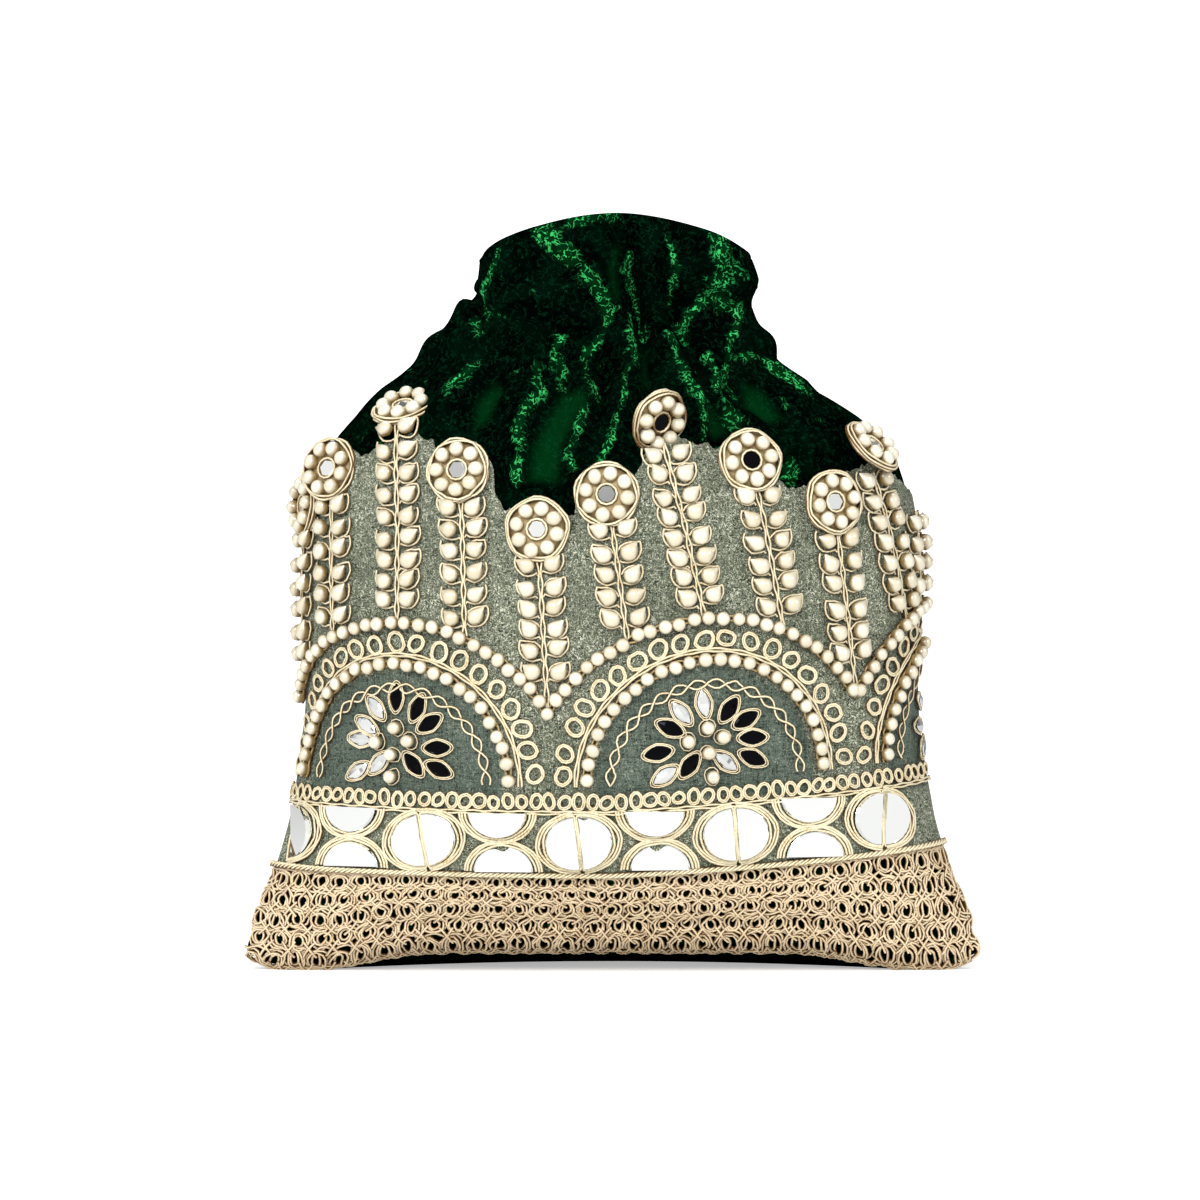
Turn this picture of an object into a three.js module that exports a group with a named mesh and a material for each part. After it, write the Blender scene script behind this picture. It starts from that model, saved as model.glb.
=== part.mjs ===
// A velvet potli bag: a soft stuffed pouch with two ears at its base, round shoulders, a neck drawn in
// by a cord channel and a frill above it. Its front carries a tissue border worked with bead stems,
// pearl arches and split mirrors, and a knitted cord band along the bottom.
// Millimetres, +Z up, the front towards -Y, the origin under the middle of the base.
import * as THREE from "three";

// Velvet bag. Every height is measured from the surface that the bag stands on.
const EAR_HALF_WIDTH = 104;
const FOOT_HALF_WIDTH = 92;
const WAIST_HALF_WIDTH = 87.3;
const NECK_HALF_WIDTH = 39.5;
const FRILL_HALF_WIDTH = 41.5;
const EAR_HALF_DEPTH = 43;
const FOOT_HALF_DEPTH = 22;
const BELLY_HALF_DEPTH = 51;
const NECK_HALF_DEPTH = 21;
const FRILL_HALF_DEPTH = 27;
const EAR_HEIGHT = 11.2;
const WAIST_HEIGHT = 70;
const SHOULDER_HEIGHT = 130;
const CASING_HEIGHT = 192;
const RIM_HEIGHT = 221;
const RIM_DROP = 12; // the frill's rim is this much lower at its sides
const VELVET = 1.6;
const SEAM_ALLOWANCE = 4; // doubled cloth inside the side seams
const PLEATS = 10; // around the whole neck
const PLEAT_DEPTH = 0.1; // share of the neck's radius
const LOBE_DEPTH = 0.06; // share of the frill's radius
const FRONT_LIFT = 4.8; // the bottom seam's front rises this much between the ears
const SEAM_SET_BACK = 8; // the bottom seam lies this far behind the middle
const EAR_BOW = 28; // and the ears this much further forward than that

// Lining.
const LINING = 0.8;
const LINING_TOP = 167;

// Tissue border, knitted band and what is sewn on them, along the cloth and up from the surface.
const TISSUE = 0.8;
const BORDER_RISE = 7; // the border is sewn on this much higher at its right end
const BORDER_MARGIN = 2.5; // from the side seams
const KNIT = 1.6;
const KNIT_BOTTOM = 2.4;
const KNIT_TOP = 28.8;
const KNIT_ROWS = 3;
const KNIT_COLUMNS = 24;
const KNIT_GAP_SHARE = 0.52; // each gap's width as a share of its cell
const ARCH_PITCH = WAIST_HALF_WIDTH * 1.031;
const ARCH_OFFSET = WAIST_HALF_WIDTH * 0.307; // the nearest arch's centre, from the middle of the front
const INNER_ARCH_FOOT = 55.2;
const INNER_ARCH_TOP = 90;
const ARCHES_APART = 11.5; // between the tops of the inner and the outer pearls
const OUTER_ARCH_TOP = INNER_ARCH_TOP + ARCHES_APART;
const OUTER_ARCH_RADIUS = ARCH_PITCH * 0.583;
const INNER_ARCH_HALF_WIDTH = ARCH_PITCH * 0.378;
const ARCH_CORD_OFFSET = 3.6; // from the inner pearls' centre line to the cord round them
const CORD = 1.3;
const PEARL_DIAMETER = 4;
const PEARL_PITCH = 4.2;
const BRAID_BOTTOM = 49;
const BRAID_HEIGHT = 5.2;
const BRAID_THICKNESS = 1.2;
const MIRROR_RADIUS = 7.8;
const MIRROR_THICKNESS = 1;
const MIRROR_SPLIT = 1.8; // the gap that a cord fills between two half mirrors
const MOON_HEIGHT = 6.9;
const MIRROR_CENTRE_HEIGHT = 39.2;
const MOONS_APART = 16.9; // between the straight sides of two halves set back to back
const MIRROR_PITCH = ARCH_PITCH * 0.497;
const MIRROR_OFFSET = MIRROR_PITCH * -0.2125;
const STEM_HALF_WIDTH = 6.4;
const STEM_NECK = 1.1;
const STEM_THICKNESS = 2.4;
const LEAF_PITCH = 6.4;
const HEAD_RADIUS = 8.8;
const HEAD_LOBES = 8;
const HEAD_THICKNESS = 3.4;
const SPRAY_HALF_WIDTH = 16.5;
const SPRAY_HALF_HEIGHT = 11.5;
const SPRAY_HEIGHT = 66.5;
const PETALS = 11;

// Each bead stem, from the left: where its foot and its head lie along the cloth, as shares of the waist's
// half width, and how far up its head lies from the shoulders towards the casing.
const STEM_PLACES = [
  [-1.208, -1.157, 0.065],
  [-0.979, -0.985, 0.237],
  [-0.716, -0.71, 0.516],
  [-0.481, -0.493, 0.237],
  [-0.21, -0.241, -0.032],
  [0.046, -0.014, 0.129],
  [0.292, 0.16, 0.468],
  [0.556, 0.458, 0.279],
  [0.825, 0.739, 0.089],
  [1.054, 0.882, 0.339],
];
const STEMS = STEM_PLACES.map(([foot, top, head]) => ({
  foot: foot * WAIST_HALF_WIDTH,
  top: top * WAIST_HALF_WIDTH,
  head: THREE.MathUtils.lerp(SHOULDER_HEIGHT, CASING_HEIGHT, head),
}));

// Clearances.
const SEAM_GAP = 0.3; // between the two velvet panels
const SKIN_GAP = 0.85; // under a layer of cloth
const SEAT_GAP = 0.5; // under what is sewn on the cloth
const SHOULDER_EASE = 0.9; // more under the border where the shoulders bend

const FRONT_COLUMNS = 20;
const RIGHT_ANGLE = Math.PI / 2;
const mix = THREE.MathUtils.lerp;
const clamp = THREE.MathUtils.clamp;
const ease = THREE.MathUtils.smoothstep;

// Sections up the bag. `lens` shapes a section: 1 is an ellipse, towards 2 its ends are pointed.
const between = (share) => mix(SHOULDER_HEIGHT, CASING_HEIGHT, share);
const shoulder = (height, share, pleat) => ({
  z: height,
  halfWidth: mix(NECK_HALF_WIDTH, WAIST_HALF_WIDTH, share),
  halfDepth: mix(NECK_HALF_DEPTH, BELLY_HALF_DEPTH, share * 0.9),
  lens: 1,
  pleat,
  lobe: 0,
});
const foot = (share, width, depth, lens) => ({
  z: mix(EAR_HEIGHT, WAIST_HEIGHT, share),
  halfWidth: mix(WAIST_HALF_WIDTH, EAR_HALF_WIDTH, width),
  halfDepth: mix(EAR_HALF_DEPTH, BELLY_HALF_DEPTH, depth),
  lens,
  pleat: 0,
  lobe: 0,
});
const plain = (z, halfWidth, halfDepth, lens) => ({ z, halfWidth, halfDepth, lens, pleat: 0, lobe: 0 });
const stations = [
  plain(0, FOOT_HALF_WIDTH, FOOT_HALF_DEPTH, 1.5),
  plain(KNIT_BOTTOM, mix(FOOT_HALF_WIDTH, EAR_HALF_WIDTH, 0.8), mix(FOOT_HALF_DEPTH, EAR_HALF_DEPTH, 0.55), 1.6),
  plain(EAR_HEIGHT, EAR_HALF_WIDTH, EAR_HALF_DEPTH, 1.55),
  foot(0.3, 0.6, 0.6, 1.3),
  foot(0.62, 0.3, 0.9, 1.12),
  plain(WAIST_HEIGHT, mix(WAIST_HALF_WIDTH, EAR_HALF_WIDTH, 0.1), BELLY_HALF_DEPTH, 1),
  shoulder(between(0), 1, 0),
  shoulder(between(0.2), 0.95, 0),
  shoulder(between(0.35), 0.86, 0),
  shoulder(between(0.48), 0.7, 0),
  shoulder(between(0.6), 0.5, PLEAT_DEPTH * 0.25),
  shoulder(between(0.7), 0.28, PLEAT_DEPTH * 0.6),
  shoulder(between(0.85), 0.17, PLEAT_DEPTH),
  { z: CASING_HEIGHT, halfWidth: NECK_HALF_WIDTH, halfDepth: NECK_HALF_DEPTH, lens: 1, pleat: PLEAT_DEPTH, lobe: 0 },
  {
    z: mix(CASING_HEIGHT, RIM_HEIGHT, 0.5),
    halfWidth: FRILL_HALF_WIDTH,
    halfDepth: FRILL_HALF_DEPTH,
    lens: 1,
    pleat: PLEAT_DEPTH * 0.4,
    lobe: LOBE_DEPTH,
  },
  { z: RIM_HEIGHT, halfWidth: FRILL_HALF_WIDTH - 1, halfDepth: FRILL_HALF_DEPTH + 1, lens: 1, pleat: 0, lobe: LOBE_DEPTH },
];

function sectionAt(z) {
  let i = stations.findIndex((station) => station.z >= z);
  if (i < 0) i = stations.length - 1;
  if (i === 0) i = 1;
  const [low, high] = [stations[i - 1], stations[i]];
  const share = clamp((z - low.z) / (high.z - low.z), 0, 1);
  const at = (key) => mix(low[key], high[key], share);
  return { halfWidth: at("halfWidth"), halfDepth: at("halfDepth"), lens: at("lens"), pleat: at("pleat"), lobe: at("lobe") };
}

// The bottom seam runs behind the middle, with the ears drawn forward, and fades out up the sides.
function seamLine(angle, z) {
  const fade = 1 - ease(z, 0, WAIST_HEIGHT);
  return fade * (SEAM_SET_BACK - EAR_BOW * Math.sin(angle) ** 2);
}

// How far the bottom's front is lifted off the surface between the ears.
function frontLift(x, y, z) {
  const across = 1 - ease(Math.abs(x), EAR_HALF_WIDTH * 0.5, EAR_HALF_WIDTH * 0.86);
  const forward = 1 - ease(y, -FOOT_HALF_DEPTH, SEAM_SET_BACK - 3);
  const down = 1 - ease(z, EAR_HEIGHT, EAR_HEIGHT * 3);
  return FRONT_LIFT * across * forward * down;
}

// A point of the bag's skin. The angle runs round from the front's middle towards +X; `side`, `face`
// and `floor` are insets at the side seams, through the front or back, and above the base.
function skin(angle, z, side = 0, face = 0, floor = 0) {
  const { halfWidth, halfDepth, lens, pleat, lobe } = sectionAt(z);
  const swell = 1 + pleat * Math.cos(PLEATS * angle) - lobe * Math.cos(4 * angle);
  const cosine = Math.cos(angle);
  const x = (halfWidth - side) * Math.sin(angle) * swell;
  const depth = (halfDepth - face) * Math.sign(cosine) * Math.abs(cosine) ** lens * swell;
  const y = seamLine(angle, z) - depth;
  const drop = RIM_DROP * Math.sin(angle) ** 2 * clamp((z - CASING_HEIGHT) / (RIM_HEIGHT - CASING_HEIGHT), 0, 1);
  const raise = floor * clamp(1 - z / EAR_HEIGHT, 0, 1);
  return new THREE.Vector3(x, y, z + frontLift(x, y, z) + raise - drop);
}

// The angle at a distance `s` along the cloth from the middle of the front, at height z.
const STEP = Math.PI / 60;
const rise = (s) => BORDER_RISE * clamp(s / seamReach(WAIST_HEIGHT), 0, 1);
function girthTable(z) {
  const lengths = [0];
  let last = skin(0, z);
  for (let k = 1; k <= 50; k++) {
    const next = skin(k * STEP, z);
    lengths.push(lengths[k - 1] + last.distanceTo(next));
    last = next;
  }
  return lengths;
}

const tables = new Map();
function angleAt(s, z) {
  const key = Math.round(z * 20);
  if (!tables.has(key)) tables.set(key, girthTable(key / 20));
  const lengths = tables.get(key);
  const along = Math.min(Math.abs(s), lengths[lengths.length - 1]);
  let k = lengths.findIndex((length) => length >= along);
  k = Math.max(k, 1);
  const share = (along - lengths[k - 1]) / (lengths[k] - lengths[k - 1]);
  return Math.sign(s) * (k - 1 + share) * STEP;
}

// A point on the front panel's facets, whose rows lie at the stations.
const COLUMN_ANGLE = Math.PI / FRONT_COLUMNS;
function facet(angle, z) {
  const place = (angle + RIGHT_ANGLE) / COLUMN_ANGLE;
  const column = Math.floor(place);
  const across = place - column;
  let row = stations.findIndex((station) => station.z >= z);
  row = clamp(row < 0 ? stations.length - 1 : row, 1, stations.length - 1);
  const [low, high] = [stations[row - 1].z, stations[row].z];
  const up = clamp((z - low) / (high - low), 0, 1);
  const corner = (side, height) => skin((column + side) * COLUMN_ANGLE - RIGHT_ANGLE, height);
  const [start, end] = [corner(0, low), corner(1, high)];
  const middle = up <= across ? corner(1, low) : corner(0, high);
  const first = middle.clone().sub(start);
  const second = end.sub(middle);
  const [a, b] = up <= across ? [across, up] : [up, across];
  start.addScaledVector(first, a).addScaledVector(second, b);
  start.y -= SEAM_GAP / 2;
  return start;
}

// A point over the front's cloth: `s` along it from the middle, z up it, and `lift` off it.
function over(s, z, lift) {
  const angle = angleAt(s, z);
  const here = facet(angle, z);
  const along = skin(angle + 0.01, z).sub(skin(angle - 0.01, z));
  const up = skin(angle, z + 0.4).sub(skin(angle, z - 0.4));
  const outwards = along.cross(up).normalize();
  return here.addScaledVector(outwards, lift + SHOULDER_EASE * ease(z, WAIST_HEIGHT, SHOULDER_HEIGHT));
}

// How far along the cloth the side seam lies, at height z.
function seamReach(z) {
  const key = Math.round(z * 20);
  angleAt(0, z);
  return tables.get(key)[Math.round(RIGHT_ANGLE / STEP)];
}

// A closed solid from two layers of the same grid, such as a sheet of cloth.
function sheet(columns, rows, outer, inner) {
  const points = [];
  for (const layer of [outer, inner]) {
    for (let r = 0; r <= rows; r++) {
      for (let c = 0; c <= columns; c++) points.push(layer(c, r));
    }
  }
  const at = (layer, c, r) => (layer * (rows + 1) + r) * (columns + 1) + c;
  const faces = [];
  const quad = (a, b, c, d) => faces.push(a, b, c, a, c, d);
  for (let c = 0; c < columns; c++) {
    for (let r = 0; r < rows; r++) {
      quad(at(0, c, r), at(0, c + 1, r), at(0, c + 1, r + 1), at(0, c, r + 1));
      quad(at(1, c, r + 1), at(1, c + 1, r + 1), at(1, c + 1, r), at(1, c, r));
    }
    quad(at(1, c, 0), at(1, c + 1, 0), at(0, c + 1, 0), at(0, c, 0));
    quad(at(0, c, rows), at(0, c + 1, rows), at(1, c + 1, rows), at(1, c, rows));
  }
  for (let r = 0; r < rows; r++) {
    quad(at(1, 0, r), at(0, 0, r), at(0, 0, r + 1), at(1, 0, r + 1));
    quad(at(0, columns, r), at(1, columns, r), at(1, columns, r + 1), at(0, columns, r + 1));
  }
  return solid(points, faces);
}

// A closed solid through rings of points, with a pole at each end. From the ring `turned` on, it runs back
// inside itself, and its faces split along the same lines as those outside.
function loft(start, rings, end, turned = rings.length) {
  const sides = rings[0].length;
  const points = [start, ...rings.flat(), end];
  const last = points.length - 1;
  const at = (ring, k) => 1 + ring * sides + (k % sides);
  const faces = [];
  for (let k = 0; k < sides; k++) {
    faces.push(0, at(0, k + 1), at(0, k));
    for (let ring = 0; ring < rings.length - 1; ring++) {
      const [a, b, c, d] = [at(ring, k), at(ring, k + 1), at(ring + 1, k + 1), at(ring + 1, k)];
      if (ring < turned) faces.push(a, b, c, a, c, d);
      else faces.push(a, b, d, b, c, d);
    }
    faces.push(last, at(rings.length - 1, k), at(rings.length - 1, k + 1));
  }
  return solid(points, faces);
}

function solid(points, faces) {
  const geometry = new THREE.BufferGeometry().setFromPoints(points);
  geometry.setIndex(faces);
  geometry.computeVertexNormals();
  return geometry;
}

const velvet = new THREE.MeshStandardMaterial({ color: 0x04441c, roughness: 0.85, metalness: 0 });
const satin = new THREE.MeshStandardMaterial({ color: 0x123a22, roughness: 0.5, metalness: 0 });
const tissue = new THREE.MeshStandardMaterial({ color: 0x7c8a7c, roughness: 0.45, metalness: 0.5 });
const goldCord = new THREE.MeshStandardMaterial({ color: 0xd9c08c, roughness: 0.45, metalness: 0.3 });
const pearl = new THREE.MeshStandardMaterial({ color: 0xf0e6d0, roughness: 0.2, metalness: 0 });
const mirror = new THREE.MeshStandardMaterial({ color: 0xf2f4f2, roughness: 0.05, metalness: 1 });

const bag = new THREE.Group();
function add(name, geometry, material) {
  const mesh = new THREE.Mesh(geometry, material);
  mesh.name = name;
  bag.add(mesh);
  return mesh;
}

// Each velvet panel is a half of the bag, from the bottom seam up to the frill's rim. Its first row is
// the bottom seam, where the two panels meet face to face.
function velvetPanel(firstAngle) {
  const angleOf = (column) => firstAngle + (column / FRONT_COLUMNS) * Math.PI;
  const seamWidth = FOOT_HALF_WIDTH - 5;
  const layer = (side, face, floor) => (column, row) => {
    const angle = angleOf(column);
    if (row > 0) return skin(angle, stations[row - 1].z, side, face, floor);
    const x = (seamWidth - side) * Math.sin(angle);
    return new THREE.Vector3(x, seamLine(angle, 0), floor);
  };
  return sheet(FRONT_COLUMNS, stations.length, layer(0, 0, 0), layer(SEAM_ALLOWANCE, VELVET, VELVET));
}
add("velvet_front_panel", velvetPanel(-RIGHT_ANGLE), velvet).position.y = -SEAM_GAP / 2;
add("velvet_back_panel", velvetPanel(RIGHT_ANGLE), velvet).position.y = SEAM_GAP / 2;

// The lining is a pocket of its own, hung inside the velvet and open at the top.
const LINING_COLUMNS = 14;
function liningRing(z, side, face) {
  return Array.from({ length: LINING_COLUMNS }, (_, k) =>
    skin((k / LINING_COLUMNS) * 2 * Math.PI, z, side, face),
  );
}
const liningHeights = stations.map((station) => station.z).filter((z) => z >= EAR_HEIGHT && z < LINING_TOP - 2);
liningHeights.push(LINING_TOP);
const liningSide = SEAM_ALLOWANCE + SKIN_GAP;
const liningFace = VELVET + 2 * SKIN_GAP;
const outsideRings = liningHeights.map((z) => liningRing(z, liningSide, liningFace));
const insideRings = liningHeights.map((z, i) =>
  liningRing(i ? z : z + LINING, liningSide + LINING, liningFace + LINING),
);
const floorMiddle = (z) => new THREE.Vector3(0, seamLine(0, z), z);
const liningFloors = [floorMiddle(EAR_HEIGHT), floorMiddle(EAR_HEIGHT + LINING)];
const liningRings = [...outsideRings, ...insideRings.reverse()];
add("lining", loft(liningFloors[0], liningRings, liningFloors[1], outsideRings.length), satin);

// The tissue's upper edge runs from head to head and is cut round each of them.
const HEAD_MARGIN = 0.5;
function tissueTop(s) {
  const place = clamp(
    STEMS.findIndex(({ top }) => top >= s),
    1,
    STEMS.length - 1,
  );
  const [before, after] = [STEMS[place - 1], STEMS[place]];
  const share = clamp((s - before.top) / (after.top - before.top), 0, 1);
  const line = mix(before.head, after.head, share);
  const bumps = STEMS.map(({ top, head }) => {
    const reach = (HEAD_RADIUS + HEAD_MARGIN) ** 2 - (s - top) ** 2;
    return reach > 0 ? head + Math.sqrt(reach) * 0.9 : 0;
  });
  return Math.max(line, ...bumps);
}
const TISSUE_COLUMNS = 40;
const TISSUE_UPPER_ROWS = 4;
const tissueStations = stations.map((station) => station.z).filter((z) => z > KNIT_TOP + BORDER_RISE && z < SHOULDER_HEIGHT);
const tissueHeights = [KNIT_TOP + 0.6, ...tissueStations, mix(WAIST_HEIGHT, SHOULDER_HEIGHT, 0.5)];
function tissueLayer(lift) {
  const last = tissueHeights.length - 1;
  return (column, row) => {
    const across = (2 * column) / TISSUE_COLUMNS - 1;
    if (row === 0) {
      const s = across * (seamReach(KNIT_TOP) - BORDER_MARGIN);
      return over(s, tissueHeights[0] + rise(s), lift);
    }
    const top = tissueTop(across * (seamReach(SHOULDER_HEIGHT) - BORDER_MARGIN));
    const z = row <= last ? tissueHeights[row] : mix(tissueHeights[last], top, (row - last) / TISSUE_UPPER_ROWS);
    return over(across * (seamReach(z) - BORDER_MARGIN), z, lift);
  };
}
add(
  "tissue_border",
  sheet(
    TISSUE_COLUMNS,
    tissueHeights.length - 1 + TISSUE_UPPER_ROWS,
    tissueLayer(SKIN_GAP + TISSUE),
    tissueLayer(SKIN_GAP),
  ),
  tissue,
);
const SEAT = SKIN_GAP + TISSUE + SEAT_GAP;

// The knitted band is a net: each cell of its wall has a diamond gap with ridged cord round it.
function knittedBand() {
  const points = [];
  const faces = [];
  const place = (column, row, lift) => {
    const across = (2 * column) / KNIT_COLUMNS - 1;
    const level = mix(KNIT_BOTTOM, KNIT_TOP, row / KNIT_ROWS);
    const s = across * (seamReach(level) - BORDER_MARGIN);
    return over(s, level + (rise(s) * Math.max(row - 1, 0)) / (KNIT_ROWS - 1), lift);
  };
  const index = new Map();
  const at = (column, row, layer) => {
    const key = [column, row, layer].join();
    if (!index.has(key)) {
      index.set(key, points.length);
      points.push(place(column, row, layer ? SKIN_GAP : SKIN_GAP + KNIT));
    }
    return index.get(key);
  };
  const triangle = (a, b, c, layer) => faces.push(...(layer ? [c, b, a] : [a, b, c]));
  const quad = (a, b, c, d) => faces.push(a, b, c, a, c, d);
  const reach = KNIT_GAP_SHARE / 2;
  for (let c = 0; c < KNIT_COLUMNS; c++) {
    for (let r = 0; r < KNIT_ROWS; r++) {
      const hole = [];
      for (const layer of [0, 1]) {
        const corners = [at(c, r, layer), at(c + 1, r, layer), at(c + 1, r + 1, layer), at(c, r + 1, layer)];
        const gap = [
          at(c + 0.5, r + 0.5 - reach, layer),
          at(c + 0.5 + reach, r + 0.5, layer),
          at(c + 0.5, r + 0.5 + reach, layer),
          at(c + 0.5 - reach, r + 0.5, layer),
        ];
        for (let k = 0; k < 4; k++) {
          const next = (k + 1) % 4;
          triangle(corners[k], corners[next], gap[k], layer);
          triangle(corners[next], gap[next], gap[k], layer);
        }
        hole.push(gap);
      }
      for (let k = 0; k < 4; k++) {
        const next = (k + 1) % 4;
        quad(hole[0][k], hole[0][next], hole[1][next], hole[1][k]);
      }
    }
    quad(at(c, 0, 1), at(c + 1, 0, 1), at(c + 1, 0, 0), at(c, 0, 0));
    quad(at(c, KNIT_ROWS, 0), at(c + 1, KNIT_ROWS, 0), at(c + 1, KNIT_ROWS, 1), at(c, KNIT_ROWS, 1));
  }
  for (let r = 0; r < KNIT_ROWS; r++) {
    quad(at(0, r, 1), at(0, r, 0), at(0, r + 1, 0), at(0, r + 1, 1));
    const end = KNIT_COLUMNS;
    quad(at(end, r, 0), at(end, r, 1), at(end, r + 1, 1), at(end, r + 1, 0));
  }
  return solid(points, faces);
}
add("knitted_band", knittedBand(), goldCord);

// The ring braid is a low strip between the mirrors and the arches, with a wavy face like its rings.
const BRAID_COLUMNS = 36;
add(
  "ring_braid",
  sheet(
    BRAID_COLUMNS,
    1,
    (c, r) => braidPoint(c, r, SEAT + BRAID_THICKNESS * (c % 2 ? 1 : 0.55)),
    (c, r) => braidPoint(c, r, SEAT),
  ),
  goldCord,
);
function braidPoint(column, row, lift) {
  const z = BRAID_BOTTOM + row * BRAID_HEIGHT;
  const across = (2 * column) / BRAID_COLUMNS - 1;
  const s = across * (seamReach(z) - BORDER_MARGIN);
  return over(s, z + rise(s), lift);
}

// A string of pearls along a line on the cloth: every pearl swells between two narrow waists.
function pearlString(line) {
  const radius = PEARL_DIAMETER / 2;
  const length = line.at(-1).at - line[0].at;
  const count = Math.floor(length / PEARL_PITCH);
  const first = line[0].at + (length - count * PEARL_PITCH) / 2;
  const where = (distance) => {
    const k = clamp(
      line.findIndex((point) => point.at >= distance),
      1,
      line.length - 1,
    );
    const share = (distance - line[k - 1].at) / (line[k].at - line[k - 1].at);
    return [mix(line[k - 1].s, line[k].s, share), mix(line[k - 1].z, line[k].z, share)];
  };
  const centre = (distance) => over(...where(distance), SEAT + radius);
  const rings = [];
  for (let k = 0; k < 2 * count - 1; k++) {
    const distance = first + ((k + 1) / 2) * PEARL_PITCH;
    const middle = centre(distance);
    const along = centre(distance + 0.5).sub(centre(distance - 0.5)).normalize();
    const out = over(...where(distance), SEAT + radius + 1).sub(middle).normalize();
    const aside = along.clone().cross(out);
    const size = k % 2 ? radius * 0.4 : radius;
    rings.push(
      [0, 1, 2, 3].map((corner) => {
        const turn = corner * RIGHT_ANGLE;
        const point = middle.clone().addScaledVector(out, size * Math.sin(turn));
        return point.addScaledVector(aside, -size * Math.cos(turn));
      }),
    );
  }
  return loft(centre(first), rings, centre(first + count * PEARL_PITCH));
}

// A line on the cloth from its (s, z) points, with each point's distance along it.
function measured(points) {
  let at = 0;
  return points.map(([s, z], k) => {
    if (k) at += Math.hypot(s - points[k - 1][0], z - points[k - 1][1]);
    return { s, z, at };
  });
}

const CLOTH_END = seamReach(WAIST_HEIGHT) - BORDER_MARGIN - PEARL_DIAMETER / 2;
const archCentres = [-1, 0, 1].map((k) => ARCH_OFFSET + k * ARCH_PITCH);

// The outer pearls run on from arch to arch, through the dips between them.
const outerHeight = (s) => {
  const centres = [ARCH_OFFSET - 2 * ARCH_PITCH, ...archCentres];
  const nearest = Math.min(...centres.map((centre) => Math.abs(s - centre)));
  const round = Math.sqrt(OUTER_ARCH_RADIUS ** 2 - nearest ** 2);
  return OUTER_ARCH_TOP - OUTER_ARCH_RADIUS + round + rise(s);
};
const OUTER_STEPS = 160;
const outerLine = Array.from({ length: OUTER_STEPS + 1 }, (_, k) => {
  const s = mix(-CLOTH_END, CLOTH_END, k / OUTER_STEPS);
  return [s, outerHeight(s)];
});
add("outer_pearl_string", pearlString(measured(outerLine)), pearl);

// An arch on its foot, as far as the cloth reaches.
const ARCH_STEPS = 48;
function archLine(centre, halfWidth, top) {
  const line = [];
  for (let k = 0; k <= ARCH_STEPS; k++) {
    const turn = Math.PI * (1 - k / ARCH_STEPS);
    const s = centre + halfWidth * Math.cos(turn);
    if (Math.abs(s) < CLOTH_END) line.push([s, mix(INNER_ARCH_FOOT, top, Math.sin(turn)) + rise(s)]);
  }
  return line;
}
archCentres.forEach((centre, k) => {
  const inner = archLine(centre, INNER_ARCH_HALF_WIDTH, INNER_ARCH_TOP);
  add(`inner_pearl_string_${k + 1}`, pearlString(measured(inner)), pearl);

  const cord = measured(
    archLine(centre, INNER_ARCH_HALF_WIDTH + ARCH_CORD_OFFSET, INNER_ARCH_TOP + ARCH_CORD_OFFSET),
  ).filter((_, i) => i % 3 === 0);
  const edge = (side, lift) => (c) => {
    const [before, after] = [cord[Math.max(c - 1, 0)], cord[Math.min(c + 1, cord.length - 1)]];
    const length = Math.hypot(after.s - before.s, after.z - before.z);
    const [across, up] = [(before.z - after.z) / length, (after.s - before.s) / length];
    return over(cord[c].s + (side * across * CORD) / 2, cord[c].z + (side * up * CORD) / 2, lift);
  };
  const layer = (lift) => (c, r) => edge(r ? 1 : -1, lift)(c);
  add(`arch_cord_${k + 1}`, sheet(cord.length - 1, 1, layer(SEAT + CORD), layer(SEAT)), goldCord);
});

// A stem is a flat spray of bead leaves in pairs along a cord. It is widest at each leaf's tip, and
// bare at its foot where it stands in a dip between two arches.
const STEM_FOOT_GAP = PEARL_DIAMETER / 2 + 2;
const BARE_FOOT = 7.5;
function stemGeometry({ foot, top, head }) {
  const low = outerHeight(foot) + STEM_FOOT_GAP;
  const high = head - HEAD_RADIUS - SEAT_GAP;
  const centres = archCentres.map((centre) => Math.abs(foot - centre));
  const bare = Math.abs(Math.min(...centres) - ARCH_PITCH / 2) < STEM_HALF_WIDTH ? BARE_FOOT : 1;
  const pairs = Math.max(2, Math.round((high - low - bare) / LEAF_PITCH));
  const pitch = (high - low - bare) / pairs;
  const levels = [{ z: low, half: STEM_NECK, tip: 0 }];
  for (let k = 0; k < pairs; k++) {
    const z = low + bare + k * pitch;
    levels.push({ z, half: STEM_NECK, tip: 0 }, { z: z + pitch * 0.5, half: STEM_HALF_WIDTH, tip: pitch * 0.25 });
  }
  levels.push({ z: high, half: STEM_NECK, tip: 0 });
  const layer = (edgeLift, spineLift) => (c, r) => {
    const { z, half, tip } = levels[r];
    const s = mix(foot, top, (z - low) / (head - low));
    return over(s + (c - 1) * half, z + (c === 1 ? 0 : tip), c === 1 ? spineLift : edgeLift);
  };
  return sheet(2, levels.length - 1, layer(SEAT + STEM_THICKNESS * 0.6, SEAT + STEM_THICKNESS), layer(SEAT, SEAT));
}

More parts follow.
